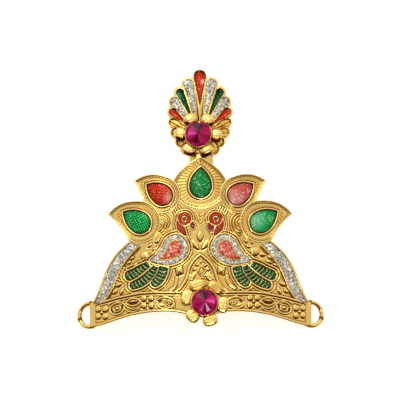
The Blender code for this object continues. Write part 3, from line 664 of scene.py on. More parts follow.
def petalPatch(outline, pocket, ribReach, covers):
    # rows of loops from the middle of the back, round the edge and over the rim, to the floor under the
    # enamel; every raised ring is a half circle between two loops
    n, p = petals["columns"], petals
    centre = pocket.mean(axis=0)
    lines, heights, caps = [], [], []

    def addRow(loop, w, cap=1.0):
        lines.append(loop)
        heights.append(np.broadcast_to(w, (n,)))
        caps.append(np.broadcast_to(cap, (n,)))

    def addRing(start, end, low, after, crown, steps, shine=1.0):
        for turn in np.linspace(0, np.pi, steps + 1)[1:]:
            t = (1 - math.cos(turn)) / 2
            base = low + (after - low) * t
            cap = 0.05 if t > 0.84 else 0.3 if t < 0.1 else shine  # painted shade: a dark line where two rings meet
            addRow(start + (end - start) * t, base + (crown - max(low, after)) * math.sin(turn), cap)

    edge, rim, rope, bead = (evenLoop(insetShape(outline, d), n) if d else evenLoop(outline, n) for d in (
        0, p["rim"], p["rim"] + p["rope"], p["rim"] + p["rope"] + p["bead"]))
    ditch, seat, hole = (evenLoop(insetShape(pocket, -d), n) if d else evenLoop(pocket, n) for d in (
        p["bezel"] + p["groove"], p["bezel"], 0))
    for t in (0.0, 0.5, 0.93):
        addRow(centre + (edge - centre) * t, 0.04)
    for w in (0.06, 0.6, p["wallTop"]):
        addRow(edge, w)
    addRing(edge, rim, p["wallTop"], p["channel"] + 0.1, p["rimTop"], 8)
    turns = np.arange(n) / n * np.pi
    # painted shade and highlight along the rope's twist, through its rows' caps
    twist = np.abs(np.cos(turns * round(loopLength(rope) / p["ropePitch"])))
    addRing(rim, rope, p["channel"] + 0.1, p["channel"], p["ropeTop"], 6, 0.25 + 0.6 * twist)
    addRing(rope, bead, p["channel"], p["channel"], p["beadTop"], 5)
    # the ribs are painted too: their rows' caps darken the colour between them
    ribs = np.abs(np.sin(turns * round(loopLength(ditch) / p["ribPitch"]))) ** 0.5
    width = np.linalg.norm(bead - ditch, axis=1)
    faint = 0.3 + 0.7 * np.clip((ditch[:, 1] - centre[1] + 5.5) / 5, 0, 1)
    for t in np.linspace(0, 1, 13)[1:-1]:
        away = (1 - t) * width
        swell = np.clip((ribReach + 0.3 - away) / 0.3, 0, 1) * min(1, (1 - t) * 5, t * 8)
        w = p["channel"] - 0.06 * swell + p["ribRise"] * swell * ribs * faint
        addRow(bead + (ditch - bead) * t, w, p["shine"] - swell * (p["shine"] + 0.15 - 0.82 * ribs) * faint)
    # painted shade in the groove round the bezel
    addRow(ditch, p["channel"] - 0.1, 0.3)
    addRow((ditch + seat) / 2, p["channel"] - 0.3, 0.1)
    addRow(seat, p["channel"] - 0.2, 0.1)
    addRow(seat, p["bezelFoot"])
    addRing(seat, hole, p["bezelFoot"], p["bezelFoot"], p["bezelTop"], 9)
    for t in (0.0, 0.5, 1.0):
        addRow(hole + (centre - hole) * t, p["floor"], 0.0)

    uv, w = np.array(lines), np.array(heights)
    for other in covers:  # sunk where the petal in front hides it
        hidden = inside(uv.reshape(-1, 2), insetLoop(other, 0.15)).reshape(w.shape)
        w = np.where(hidden, np.minimum(w, p["hidden"]), w)
    # the colour's painted shade and highlight: from hollows and ridges, and never above each row's cap
    depth = np.minimum(hollowness(w, 2, 0.76, 1.2), np.array(caps))
    return wrap(uv, w), True, depth


def enamelPatch(loop, floor, edge, top, count=180, bend=None, sink=0.0, shade=0.0):
    # a dome over the loop: w = edge + rise * (1 - r^2)^0.5, with r from 0 in the middle to 1 at the edge; a
    # hollow one is (1 - r^2). Its colour has painted shade at the edge, and by the shade's share at its upper
    # end
    line = evenLoop(loop, count)
    centre = loop.mean(axis=0)
    radii = np.concatenate([[0.0, 1.0, 1.0], np.cos(np.linspace(0, np.pi / 2, 12)[1:])])
    exponent = 0.5 if top > edge else 1.0
    w = np.concatenate([[floor, floor, edge], edge + (top - edge) * (1 - radii[3:] ** 2) ** exponent])
    uv = centre + (line[None] - centre) * radii[:, None, None]
    up = (line - centre)[:, 1] / np.linalg.norm(line - centre, axis=1)
    radii = radii[:, None]
    crescent = np.clip((radii * (0.5 + 0.5 * up[None]) - 0.66) / 0.14, 0, 1)
    return wrap(uv, w[:, None], bend, sink), True, (1 - radii**8) * (1 - shade * crescent)


def makePetals():
    upper, lower, middle = (petals[name] for name in ("upper", "lower", "middle"))
    both = [sideways(sidePetal(upper), 1), sideways(sidePetal(upper), -1)]
    rimmed = petalPatch(middlePetal(middle), petalPocket(middle), middle["ribs"], both)
    buildPiece("petalMiddle", [rimmed], gold, "gold")
    drop = enamelPatch(insetShape(petalPocket(middle), petals["gap"]), *petals["drop"])
    buildPiece("dropMiddle", [drop], enamelled["middle"], "green_enamel", ["petal_enamel_center"])
    for side, letter in ((1, "r"), (-1, "l")):
        for name, slot in (("upper", "red_enamel"), ("lower", "green_enamel")):
            p = petals[name]
            pocket = sideways(petalPocket(p), side)
            covers = [sideways(sidePetal(lower), side)] if name == "upper" else []
            rimmed = petalPatch(sideways(sidePetal(p), side), pocket, p["ribs"], covers)
            buildPiece(name + "Petal_" + letter, [rimmed], gold, "gold")
            drop = enamelPatch(insetShape(pocket, petals["gap"]), *petals["drop"])
            buildPiece(name + "Drop_" + letter, [drop], enamelled[name + letter.upper()], slot,
                       ["petal_enamel_" + name + "_" + letter])


makePetals()
print("petals made")

# The field: body outline, glitter strips, peacocks, arch, leaves and the lower band

field = {
    # the last value of this row is the share of painted shade at the feet of raised lines
    "half": 50, "columns": 312, "rows": 300, "ground": 1.62, "relief": 1.95, "cell": 1.05, "tarnish": 0.62,
    "hatchPitch": 1.2, "hatchRise": 0.007,
    "lowerEdge": [
        (0, 5.9), (4, 6.4), (8, 7.6), (13, 8.4), (21, 8.3), (30.6, 6.8), (37.2, 4.8), (42.7, 2.9), (46, 2.0),
        (50, 1.7)],
    "wingEdge": [
        (50, 11.7), (48.2, 13.6), (46.0, 18.5), (44.3, 22.9), (42.6, 27.1), (40.4, 31.2), (37.8, 34.8),
        (34.6, 37.9), (32, 40.2)],
    "underPetals": [(27.4, 48.7), (17.4, 60.9), (0, 64.4)],
    "border": [(9, 17.0), (12, 17.0), (20, 17.1), (27, 16.7), (33, 15.6), (38, 14.5), (43, 13), (46.9, 11.9)],
    "stripInner": [
        (45.5, 12.4), (42.9, 14.5), (40.4, 18.4), (38.6, 22.8), (36.9, 26.8), (34.4, 30.8), (31.2, 34.8),
        (28, 38)],
    "tab": [(47.3, 1.2), (52, 1.2), (52, 12.6), (47.3, 12.6)],
    "edgings": [  # line, distance to its left, half width and rise
        ("border", 0, 0.5, 0.05), ("border", -1.2, 0.36, -0.1), ("lowerEdge", 0.6, 0.6, 0),
        ("wingEdge", 0.5, 0.55, 0.1), ("stripInner", 0.4, 0.4, 0.05), ("stripInner", 1.35, 0.26, -0.25)],
}
ridges = {  # half width of each kind of line, and its rise over the field's relief
    "arch": (0.62, 0.1), "archInner": (0.36, -0.15), "stem": (0.75, 0), "shell": (0.36, -0.2),
    "rung": (0.32, -0.15), "crest": (0.42, -0.1), "heart": (0.32, 0), "curl": (0.32, -0.1),
    "diamond": (0.32, 0.05), "brow": (0.3, 0), "eye": (0.42, 0), "pupil": (0.28, 0), "scroll": (0.42, 0),
    "volute": (0.32, 0), "lens": (0.4, 0), "wave": (0.34, -0.05), "feather": (0.32, 0.05),
    "heartWall": (0.26, 0.05),
}
ornaments = {
    "arch": {
        "right": [(0, 34.0), (3.5, 31.2), (5.7, 28.3), (6.7, 25.8), (7.7, 22.5), (9.4, 19.8), (12.2, 17.3)],
        "left": [(0, 34.0), (2.8, 31.5), (4.9, 28.2), (5.6, 25.6), (6.6, 22.7), (8.6, 19.6), (11.3, 17.3)]},
    "stem": {
        "right": [(12.1, 24.4), (12.1, 22.5), (13.3, 20.5), (15.5, 18.8)],
        "left": [(10.6, 23.6), (10.9, 21.2), (11.8, 19.3), (13.6, 18.0)]},
    "pyramid": [(7.7, 25.6), (10.7, 24.7), (11.3, 28.1), (8.0, 29.3)],
    "bothSides": [  # leaves: middle, length, width and turn
        (2.3, 38.5, 5.4, 2.0, 52), (37.0, 20.6, 3.3, 1.7, -20), (38.4, 17.6, 3.2, 1.6, -45),
        (35.4, 17.7, 3.3, 1.6, -62)],
    "right": [
        (20.3, 40.1, 2.5, 1.2, -42), (21.4, 37.7, 2.7, 1.2, -30), (23.0, 39.5, 2.2, 1.0, -50),
        (27.9, 34.0, 3.0, 1.7, -15), (27.4, 31.6, 2.7, 1.6, -38), (31.2, 32.8, 2.7, 1.4, -40),
        (30.9, 30.6, 2.9, 1.4, -15), (33.7, 29.2, 2.3, 1.2, -35)],
    "left": [
        (19.3, 40.3, 3.0, 1.4, -42), (22.6, 38.3, 2.6, 1.2, -40), (20.8, 36.6, 2.4, 1.1, -30),
        (27.0, 31.0, 2.6, 1.1, -25), (29.0, 29.6, 2.6, 1.1, -38), (30.6, 32.6, 2.6, 1.2, -30),
        (32.0, 30.6, 2.4, 1.1, -35), (27.0, 29.0, 2.0, 0.9, -50)],
    "boss": {"right": (24.4, 35.3, 1.85), "left": (25.1, 33.6, 1.85)},
    "ladder": [(33.7, 27.7), (34.8, 26.6), (35.7, 25.3), (36.3, 24.0), (36.8, 22.7), (37.2, 21.4)],
    "shellArcs": {"centre": (18.9, 47.9), "radii": (1.4, 2.7, 4.0, 5.3)},
    "shellLines": [
        [(18.6, 52.4), (15.8, 51.6), (14.0, 49.3), (14.5, 46.6), (17.0, 43.4)],
        [(18.6, 50.6), (16.6, 49.8), (15.5, 48.0), (16.1, 46.0), (17.8, 44.2)],
        [(18.9, 48.9), (17.5, 48.2), (17.0, 47.0), (17.6, 45.7), (18.6, 44.8)]],
    "crest": {"centre": (10.4, 53.8), "turn": 152, "length": 2.2, "step": 1.15, "count": 4},
    "heart": (0.2, 50.6, 2.3), "budding": (0, 42.4, 5.2, 2.6, 90), "curl": (4.6, 34.2),
    "diamond": (0.6, 26.7, 1.9, 2.4),
    "beads": [(0.4, 30.7), (-1.4, 29.4), (2.5, 29.3), (-2.7, 27.3), (3.6, 27.3), (3.3, 25.0), (-2.6, 25.0)],
    "kidney": (4.3, 23.9, 4.4, 2.8, -20),
}
band = {
    "flowers": [(23.9, 12.9, 2.3), (44.6, 8.0, 2.3)], "lobe": 1.22,
    # parts of ellipses: middle, half sizes, turn, start and end
    "eye": ((15.9, 12.4), (3.9, 2.5), 0, 35, 330), "scroll": ((37.6, 9.8), (3.4, 2.5), -22, -170, 120),
    "volute": ((37.6, 9.8), (1.7, 1.3), -22, 0, 360),
    "pupil": [(14.1, 12.4), (15.0, 13.3), (15.9, 12.4), (15.0, 11.5)],
    # lenses: middle, length, width and turn
    "tear": (18.1, 11.5, 3.2, 1.5, 12), "lens": (30.3, 12.7, 7.0, 3.3, -8),
    "lensInner": (30.3, 13.15, 4.34, 0.99, -8),
    "slits": [(30.3, 12.2, 4.6, 1.1, -8), (18.2, 13.0, 2.8, 1.0, -25), (35.3, 10.6, 1.2, 2.2, 10),
              (39.9, 8.9, 1.4, 2.4, -30), (13.4, 11.6, 1.0, 1.8, 20)],
    "waves": [
        [(26.6, 11.4), (28.6, 10.0), (31.0, 9.6), (33.4, 10.9), (35.6, 12.6), (38.6, 13.0), (41.6, 11.6)],
        [(27.4, 10.0), (29.6, 8.6), (32.0, 8.4), (34.0, 9.4)],
        [(11.9, 9.9), (11.7, 12.2), (13.0, 14.4), (16.2, 15.3)]],
}
birds = {
    "head": (7.1, 50.0, 2.95), "eyeRing": 1.1, "pupil": 0.86,
    "neck": [
        (9.9, 49.6), (10.5, 47.4), (9.9, 45.1), (8.5, 43.8), (6.3, 42.4), (6.7, 44.9), (7.6, 46.6),
        (7.8, 48.1)],
    "body": [
        (10.6, 43.0), (7.3, 41.2), (5.5, 38.0), (5.9, 34.4), (9.2, 31.1), (14.6, 29.4), (19.0, 29.9),
        (22.6, 31.1), (19.9, 33.8), (17.4, 37.2), (14.9, 41.4)],
    "heart": [
        (11.2, 40.4), (8.9, 38.9), (8.2, 36.8), (9.3, 34.2), (13.1, 32.3), (17.9, 32.1), (15.1, 35.4),
        (13.6, 38.6)],
    "beaks": {
        "r": [(3.5, 48.3), (6.3, 46.6), (5.8, 44.2), (4.5, 44.3), (3.3, 46.2)],
        "l": [(3.3, 48.7), (4.5, 47.1), (3.1, 45.2), (2.4, 47.0)]},
    "feathers": {  # points along the middle, with the half width there
        "1": [(23.4, 29.5, 1.2), (26.2, 27.8, 1.7), (29.1, 25.9, 2.0), (31.9, 24.5, 2.15)],
        "2": [
            (20.2, 28.4, 1.2), (22.0, 25.7, 1.75), (24.6, 23.1, 1.95), (27.6, 21.2, 1.95),
            (30.2, 20.1, 1.65)],
        "3": [(16.5, 28.2, 2.0), (17.2, 25.6, 2.1), (18.7, 23.0, 2.1), (20.3, 21.4, 1.9)],
    },
    "contours": [  # what it runs round, distance, half width, rise and moat
        ("body", 1.7, 0.4, 0, 0.42), ("body", 0.5, 0.42, 0.1, 0.3), ("head", 1.35, 0.32, -0.1, 0.42),
        ("head", 0.35, 0.36, 0.1, 0.25), ("beak", 0.3, 0.34, 0.05, 0.25)],
    "ribPitch": 1.65,
}


def featherLoop(points):
    # both sides of the feather's middle line, and a half circle round its end
    line = smoothLine(points, 5)
    middle, half = line[:, :2], line[:, 2:]
    left = leftOf(middle)
    side = left * half
    angle = math.degrees(math.atan2(-left[-1, 0], left[-1, 1]))
    end = arcLine(middle[-1], half[-1, 0], angle - 90, angle + 90, 8)
    return np.vstack([(middle - side)[:-1], end, (middle + side)[-2::-1]])


def heartLoop(u, v, size):
    # x = sin^3 t, y from three cosines
    t = np.radians(np.arange(0, 360, 8))
    up = 0.81 * np.cos(t) - 0.31 * np.cos(2 * t) - 0.12 * np.cos(3 * t) - 0.04 * np.cos(4 * t)
    return np.column_stack([u + size * np.sin(t) ** 3, v + size * up])[::-1]


def stripLoop():
    outer = insetLine(smoothLine(field["wingEdge"], 4), 1.0)[2:]
    return counterclockwise(np.vstack([outer, smoothLine(field["stripInner"], 4)[::-1]]))


def turnedLoop(centre, half, turn, start, end):
    # part of an ellipse with its own turn
    flat = arcLine((0, 0), 1.0, start, end, 36) * np.array(half)
    return flat @ np.array([heading(turn), heading(turn + 90)]) + centre


def drawLine(relief, kind, line, closed=False, moat=0.42):
    halfWidth, rise = ridges[kind]
    relief.bead(line, halfWidth, field["relief"] + rise, closed, moat)


def ornamentRelief(relief, side):
    # what stands on the field: arch, stems, leaves, shells, crest, heart and the figures inside the arch
    top, o = field["relief"], ornaments
    which = "right" if side > 0 else "left"
    arch = smoothLine(o["arch"][which], 5)
    drawLine(relief, "arch", arch)
    drawLine(relief, "archInner", insetLine(arch, -1.3)[3:])
    drawLine(relief, "stem", smoothLine(o["stem"][which], 5))
    relief.dome(np.array(o["pyramid"]), top + 0.3, 1.6, fullness=1)
    for u, v, length, width, turn in o["bothSides"] + o[which]:
        relief.dome(lensLoop(u, v, length, width, turn), top + 0.04, width * 0.5, shade=(0.0, -0.2 * width))
    u, v, radius = o["boss"][which]
    relief.dome(circleLoop((u, v), radius), top + 0.2, radius)
    if side > 0:
        for radius in o["shellArcs"]["radii"]:
            drawLine(relief, "shell", arcLine(o["shellArcs"]["centre"], radius, 95, 262, 16))
    else:
        for line in o["shellLines"]:
            drawLine(relief, "shell", smoothLine(line, 5))
        for place in o["ladder"]:
            drawLine(relief, "rung", [place - heading(30), place + heading(30)])
    crest = o["crest"]
    for step in range(crest["count"]):
        middle = crest["centre"] + heading(crest["turn"]) * (step - (crest["count"] - 1) / 2) * crest["step"]
        across = heading(crest["turn"] - 90) * crest["length"] / 2
        drawLine(relief, "crest", [middle - across, middle + across])
    u, v, size = o["heart"]
    drawLine(relief, "heart", heartLoop(u * side, v, size), closed=True, moat=0.28)
    relief.dome(lensLoop(*o["budding"]), top, 0.9)
    u, v = o["curl"]
    drawLine(relief, "curl", arcLine((u, v), 0.75, -60, 200, 14))
    u, v, across, up = o["diamond"]
    diamond = np.array([(across, 0), (0, up), (-across, 0), (0, -up)]) + [u * side, v]
    drawLine(relief, "diamond", diamond, closed=True)
    for u, v in o["beads"]:
        relief.dome(circleLoop((u * side, v), 0.62, 3 if v > 30 else 4), top, 0.6, 0.35)
    relief.dome(lensLoop(*o["kidney"]), top - 0.12, 0.6)
    drawLine(relief, "brow", arcLine((side, 22.3), 1.5, 20, 160, 10))


def bandRelief(relief):
    # the band below the border: four-lobed flowers, an eye, a lens, a scroll and waves between them
    top, b = field["relief"], band
    for u, v, reach in b["flowers"]:
        for quarter in range(4):
            relief.dome(circleLoop((u, v) + reach * heading(45 + 90 * quarter), b["lobe"], 14), top, 0.8)
        relief.dome(circleLoop((u, v), 0.6, 10), top, 0.6)
    drawLine(relief, "eye", turnedLoop(*b["eye"]))
    drawLine(relief, "pupil", b["pupil"], closed=True)
    relief.dome(lensLoop(*b["tear"]), top, 0.7)
    drawLine(relief, "scroll", turnedLoop(*b["scroll"]))
    drawLine(relief, "volute", turnedLoop(*b["volute"]), closed=True)
    relief.dome(circleLoop(b["scroll"][0], 0.5, 10), top - 0.1, 0.5)
    drawLine(relief, "lens", evenLoop(lensLoop(*b["lens"]), 40), closed=True)
    relief.dome(lensLoop(*b["lensInner"]), top - 0.1, 0.5, 0.3)
    for cut in b["slits"]:
        relief.slit(lensLoop(*cut))
    for wave in b["waves"]:
        drawLine(relief, "wave", smoothLine(wave, 5))


def birdRelief(relief, side):
    # gold walls round the enamel cells, one outline round body and tail together, and the sunk cells
    head = circleLoop(birds["head"][:2], birds["head"][2], 36)
    neck, body, heart = (roundLoop(birds[key], 70) for key in ("neck", "body", "heart"))
    feathers = [featherLoop(points) for points in birds["feathers"].values()]
    beak = counterclockwise(np.array(birds["beaks"]["r" if side > 0 else "l"]))
    groups = {"body": [body, *feathers], "head": [head, neck], "beak": [beak]}
    for group, distance, halfWidth, rise, moat in birds["contours"]:
        relief.contour(groups[group], distance, halfWidth, field["relief"] + rise, moat)
    for loop in feathers:
        drawLine(relief, "feather", insetLoop(loop, -0.3), closed=True)
    for loop in [head, neck, body, beak, *feathers, stripLoop()]:
        relief.sink(loop, field["cell"])
    drawLine(relief, "heartWall", insetLoop(heart, -0.2), closed=True)
    relief.sink(insetLoop(heart, 0.06), field["cell"])


def fieldHeights(points, side):
    # every raised line and leaf of one half of the casting, over a finely hatched ground
    top = field["relief"]
    relief = Relief(points, field["ground"])
    for key, aside, halfWidth, rise in field["edgings"]:
        relief.bead(insetLine(smoothLine(field[key], 4), aside), halfWidth, top + rise)
    ornamentRelief(relief, side)
    bandRelief(relief)
    relief.sink(np.array(field["tab"]), field["ground"])
    relief.dome(np.array(field["tab"]), top - 0.05, 1.3)
    birdRelief(relief, side)
    w = relief.surface()
    plain = np.abs(w - field["ground"]) < 0.02
    lines = np.cos(2 * np.pi * (points[:, 0] * side + points[:, 1]) / (field["hatchPitch"] * 1.414))
    return w + field["hatchRise"] * lines * plain, relief.tarnish()


def makeField():
    # v runs from the lower edge to the wing, or to a line under the petals, and both are curves over u
    lower, wing = smoothLine(field["lowerEdge"], 8), smoothLine(field["wingEdge"], 8)
    upper = np.vstack([wing, field["underPetals"]])[::-1]
    u = np.linspace(0, field["half"], field["columns"] + 1)
    low, high = np.interp(u, lower[:, 0], lower[:, 1]), np.interp(u, upper[:, 0], upper[:, 1])
    t = np.linspace(0, 1, field["rows"] + 1)[:, None]
    across = np.broadcast_to(u, (len(t), len(u)))
    up = low + (high - low) * t
    points = np.column_stack([across.ravel(), up.ravel()])
    covers = [sidePetal(petals["upper"]), sidePetal(petals["lower"]), middlePetal(petals["middle"])]
    under = np.zeros(len(points), bool)
    for loop in covers:
        under |= inside(points, insetLoop(loop, 0.3))
    under = under.reshape(across.shape)
    for side, letter in ((1, "r"), (-1, "l")):
        w, tarnish = (part.reshape(across.shape) for part in fieldHeights(points, side))
        w = np.where(under, np.minimum(w, petals["hidden"]), w)
        # painted shade in hollows and at the feet of raised lines, painted highlight on ridges
        depth = np.clip(hollowness(w) - field["tarnish"] * tarnish, 0, 1)
        uv = np.stack([across * side, up], axis=-1)
        patches = [(wrap(uv, w), False, depth), (wrap(uv[[0, -1], 1:-1], 0.0), False, 0.5)]
        for line, top in ((uv[0], w[0]), (uv[-1], w[-1]), (uv[:, -1], w[:, -1]), (uv[:, 0], w[:, 0])):
            patches.append((wrap(np.stack([line, line]), np.stack([top * 0, top])), False, 0.5))
        for end, inner in ((0, 1), (-1, -2)):  # the back's end strips fan out to the side walls' points
            fan = uv[np.where(t[:, 0] < 0.5, 0, -1), inner]
            patches.append((wrap(np.stack([uv[:, end], fan]), 0.0), False, 0.5))
        buildPiece("field_" + letter, patches, gold, "gold", ["crown_plate"] if side > 0 else ())


makeField()
print("field made")


# Enamel and glitter in the field's cells

def cellPatch(loop, side, top, edge=1.5, floor=1.1, count=120):
    # flat in the middle, rounded down at the loop: rows at growing insets of the same loop, with painted
    # shade near the loop
    line = evenLoop(sideways(counterclockwise(np.array(loop)), side), count)
    centre = line.mean(axis=0)
    rim = startNear(evenLoop(insetShape(line, 0.3), count), line[0])
    rows = [centre + (line - centre) * s for s in (0, 1, 1)] + [line + (rim - line) * s for s in (0.3, 1)]
    rows += [centre + (rim - centre) * s for s in (0.6, 0)]
    w = [floor, floor, edge, edge + 0.6 * (top - edge), top, top, top]
    return wrap(np.array(rows), np.array(w)[:, None]), True, np.array([1.0, 0, 0, 0.3, 1, 1, 1])[:, None]


def ringPatch(outer, hole, side, top, edge=1.5, floor=1.1, count=160):
    # a collar between two loops, matched by their share of the way round, with painted shade near both loops
    outer, hole = (sideways(counterclockwise(np.array(loop)), side) for loop in (outer, hole))
    outer = evenLoop(outer, count)
    hole = startNear(evenLoop(hole, count), outer[0])
    shares = [1.0, 0.0, 0.0, 0.08, 0.25, 0.5, 0.75, 0.92, 1.0, 1.0]
    heights = [floor, floor, edge, top - 0.08, top, top, top, top - 0.08, edge, floor]
    uv = np.array([outer + (hole - outer) * s for s in shares])
    depth = np.clip(5 - 10 * np.abs(np.array(shares) - 0.5), 0, 1)
    return wrap(uv, np.array(heights)[:, None]), True, depth[:, None]


def featherFrame(points):
    # the middle line, its left-hand directions, its half widths and the way travelled, with a round end
    line = smoothLine(points, 12)
    middle, half = line[:, :2], line[:, 2]
    left = leftOf(middle)
    ahead = np.array([left[-1, 1], -left[-1, 0]])
    end = np.linspace(0, np.pi / 2, 8)[1:]
    middle = np.vstack([middle, middle[-1] + ahead * half[-1] * np.sin(end)[:, None]])
    half = np.concatenate([half, half[-1] * np.cos(end)])
    left = np.vstack([left, np.repeat(left[-1:], len(end), axis=0)])
    return middle, left, half, travelledAlong(middle)


def ribbonPatch(points, side, top=1.8, floor=1.1):
    # a feather's enamel: a low half-round across, swelling between its cross bars
    middle, left, half, travelled = (np.concatenate([part[:1], part]) for part in featherFrame(points))
    half[0] = 0
    swell = np.abs(np.sin(np.pi * travelled / birds["ribPitch"])) ** 0.5
    across = np.linspace(-1, 1, 17)
    uv = middle[:, None] + left[:, None] * (half[:, None, None] * across[None, :, None]) * 0.99
    w = 1.45 + (top - 1.45) * (1 - across**4)[None] * (0.3 + 0.7 * swell[:, None])
    uv, w = np.concatenate([uv, uv[:, ::-1]], axis=1), np.concatenate([w, np.full(w.shape, floor)], axis=1)
    # painted shade along the feather's sides
    depth = np.concatenate([1 - across**6, 0 * across])[None]
    return wrap(uv * [side, 1], w), True, depth


def wirePatch(line, side, width=0.4, low=1.5, rise=0.48):
    # a half-round gold wire with a flat underside, tapered to a point at both ends
    section = np.linspace(0, np.pi, 6)
    uv = line[:, None] - leftOf(line)[:, None] * (np.cos(section) * width / 2)[None, :, None]
    t = np.linspace(-1, 1, len(line))[:, None]
    w = low + rise * np.sin(section)[None] * (1 - 0.5 * t**6)
    ends = [np.broadcast_to(line[k], (1, len(section), 2)) for k in (0, -1)]
    uv = np.concatenate([ends[0], uv, ends[1]])
    w = np.pad(w, ((1, 1), (0, 0)), constant_values=low)
    return wrap(uv * [side, 1], w), True, 0.8


def barPatches(points, side):
    # thin gold bars across a feather, bowed and a little slanted
    middle, left, half, travelled = featherFrame(points)
    patches = []
    for place in np.arange(1.6, travelled[-1] - 0.7, birds["ribPitch"]):
        at = np.array([np.interp(place, travelled, middle[:, k]) for k in (0, 1)])
        out = np.array([np.interp(place, travelled, left[:, k]) for k in (0, 1)])
        ahead = np.array([out[1], -out[0]])
        reach = np.interp(place, travelled, half) * 0.86
        t = np.linspace(-1, 1, 9)[:, None]
        patches.append(wirePatch(at + out * t * reach + ahead * (0.3 * (1 - t**2) + 0.25 * t), side))
    return patches


fillTops = {"strip": 1.75, "body": 1.8, "heart": 1.85, "head": 1.85, "pupil": 1.95, "neck": 1.78, "beak": 1.8}


def makeCells():
    top = fillTops
    body, heart = roundLoop(birds["body"], 100), roundLoop(birds["heart"], 80)
    middle, reach = birds["head"][:2], birds["head"][2]
    eye = [circleLoop(middle, birds["eyeRing"] + wider, 40) for wider in (0.33, 0.22, -0.22)]
    for side, letter in ((1, "r"), (-1, "l")):
        buildPiece("stripGlitter_" + letter, [cellPatch(stripLoop(), side, top["strip"], count=260)], silver,
                   "silver_glitter", ["side_glitter_" + letter])
        buildPiece("bodyGlitter_" + letter, [ringPatch(body, insetLoop(heart, -0.4), side, top["body"])],
                   silver, "silver_glitter", ["bird_body_glitter_" + letter])
        buildPiece("bodyHeart_" + letter, [cellPatch(heart, side, top["heart"])], coral, "red_enamel",
                   ["bird_body_enamel_" + letter])
        head = [
            ringPatch(circleLoop(middle, reach, 40), eye[0], side, top["head"]),
            cellPatch(circleLoop(middle, birds["pupil"]), side, top["pupil"], count=40),
            cellPatch(roundLoop(birds["neck"], 60), side, top["neck"])]
        buildPiece("birdHead_" + letter, head, enamelled["bird"], "red_enamel",
                   ["bird_head_enamel_" + letter])
        wires = [
            ringPatch(eye[1], eye[2], side, 2.0, 1.85),
            wirePatch(arcLine(middle, reach, -135, 0, 16), side, 0.5, 1.6, 0.45)]
        buildPiece("birdWires_" + letter, wires, gold, "gold")
        beak = cellPatch(birds["beaks"][letter], side, top["beak"], count=60)
        buildPiece("birdBeak_" + letter, [beak], enamelled["beak"], "dark_red_enamel",
                   ["bird_beak_enamel_" + letter])
        for key, points in birds["feathers"].items():
            buildPiece("feather" + key + "_" + letter, [ribbonPatch(points, side)], enamelled["feather"],
                       "green_enamel", ["tail_feather_enamel_" + key + "_" + letter])
            buildPiece("featherBars" + key + "_" + letter, barPatches(points, side), gold, "gold")


makeCells()
print("cells filled")

# Thread rings

rings = {"centre": (50.0, 6.7), "radius": 5.36, "wire": 1.09, "seat": 45.5}


def makeRings():
    # a torus: the wire's circle carried round the ring's circle, in the plate's plane at the seat
    across, up, out = squareTo(rings["seat"], lie["bend"])
    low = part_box("thread_ring_r")[0].z * 1000 + rings["radius"] * math.sqrt(1 - out.z**2) + rings["wire"]
    turn, section = np.meshgrid(*(np.arange(n) * 2 * np.pi / n for n in (96, 24)), indexing="ij")
    reach = rings["radius"] + rings["wire"] * np.cos(section)
    flat = np.stack([reach * np.cos(turn), reach * np.sin(turn), rings["wire"] * np.sin(section)], axis=-1)
    flat = np.concatenate([flat, flat[:1]], axis=0)
    points = flat @ np.array([across[:], up[:], out[:]])
    points += (rings["centre"][0], rings["centre"][1] - lie["middle"], low)
    # painted highlight along the top of the wire, painted shade at its sides, and darker in three patches
    depth = 0.45 + 0.4 * np.clip(np.sin(section), 0, 1) ** 2 - np.clip(np.cos(3 * turn + 1.2), 0, 1) ** 8
    depth = np.clip(np.concatenate([depth, depth[:1]]), 0, 1)
    for side, letter in ((1, "r"), (-1, "l")):
        buildPiece("ring_" + letter, [(points * (side * 0.001, 0.001, 0.001), True, depth)], gold, "gold",
                   ["thread_ring_" + letter])


makeRings()
print("rings made")

# Plume: a domed, lobed shell with inlaid wedges and plain troughs

plume = {
    "focus": (0.2, 87.7), "thick": 1.2, "ridge": 2.1, "hollow": 1.1, "columns": 620, "rows": 86,
    "wall": {"top": 0.5, "red": 1.1, "green": 1.3, "glitter": 0.95, None: 0.7}, "least": 8.0, "edge": 1.75,
    "tab": [(-4.6, 71.0), (6.0, 71.0), (6.0, 82.0), (-4.6, 82.0)],
    "lobes": [  # direction, reach, root of the hollow, radius of the head, filling
        (90.0, 30.0, 13.1, 3.2, "red"), (77.4, 27.1, 6.0, 3.2, "glitter"), (65.2, 24.4, 7.0, 3.0, "green"),
        (53.3, 21.9, 6.0, 3.0, "glitter"), (41.0, 19.0, 6.5, 2.8, "red"), (26.5, 16.0, 5.0, 2.8, None),
        (7.0, 13.8, 4.0, 2.9, None), (-18.0, 12.0, 3.5, 3.0, None), (-45.0, 11.6, 3.0, 3.4, None),
    ],
    # the fillings' heights at the wall and in the middle
    "fill": {"red": (1.95, 1.45), "green": (1.95, 1.4), "glitter": (1.6, 1.78)},
    "spear": [(-0.2, 100.4), (0.1, 97.0), (0.2, 93.4)],
}


def plumeLobes():
    right = [(*lobe, "r") for lobe in plume["lobes"]]
    return right + [(180 - angle, *others, "l") for angle, *others in plume["lobes"][1:]]


def lobeLoop(angle, reach, root, radius):
    # a straight wedge, pointed towards the focus and round at its head
    focus = np.array(plume["focus"])
    tangent = math.degrees(math.acos(radius / (reach - radius - root)))
    tip, middle = focus + heading(angle) * root, focus + heading(angle) * (reach - radius)
    return counterclockwise(dropLoop(tip, middle, radius, tangent, 0.5, 12, 3))


def plumeReach(angles):
    # how far the outermost lobe reaches at each angle: where a ray from the focus leaves the heads' circles
    reach = np.full(len(angles), plume["least"])
    for angle, far, _, radius, *_ in plumeLobes():
        distance = far - radius
        off = angles - math.radians(angle)
        hit = (np.abs(distance * np.sin(off)) < radius) & (np.cos(off) > 0)
        edge = distance * np.cos(off) + np.sqrt(np.maximum(radius**2 - (distance * np.sin(off)) ** 2, 0))
        reach = np.where(hit, np.maximum(reach, edge), reach)
    return reach


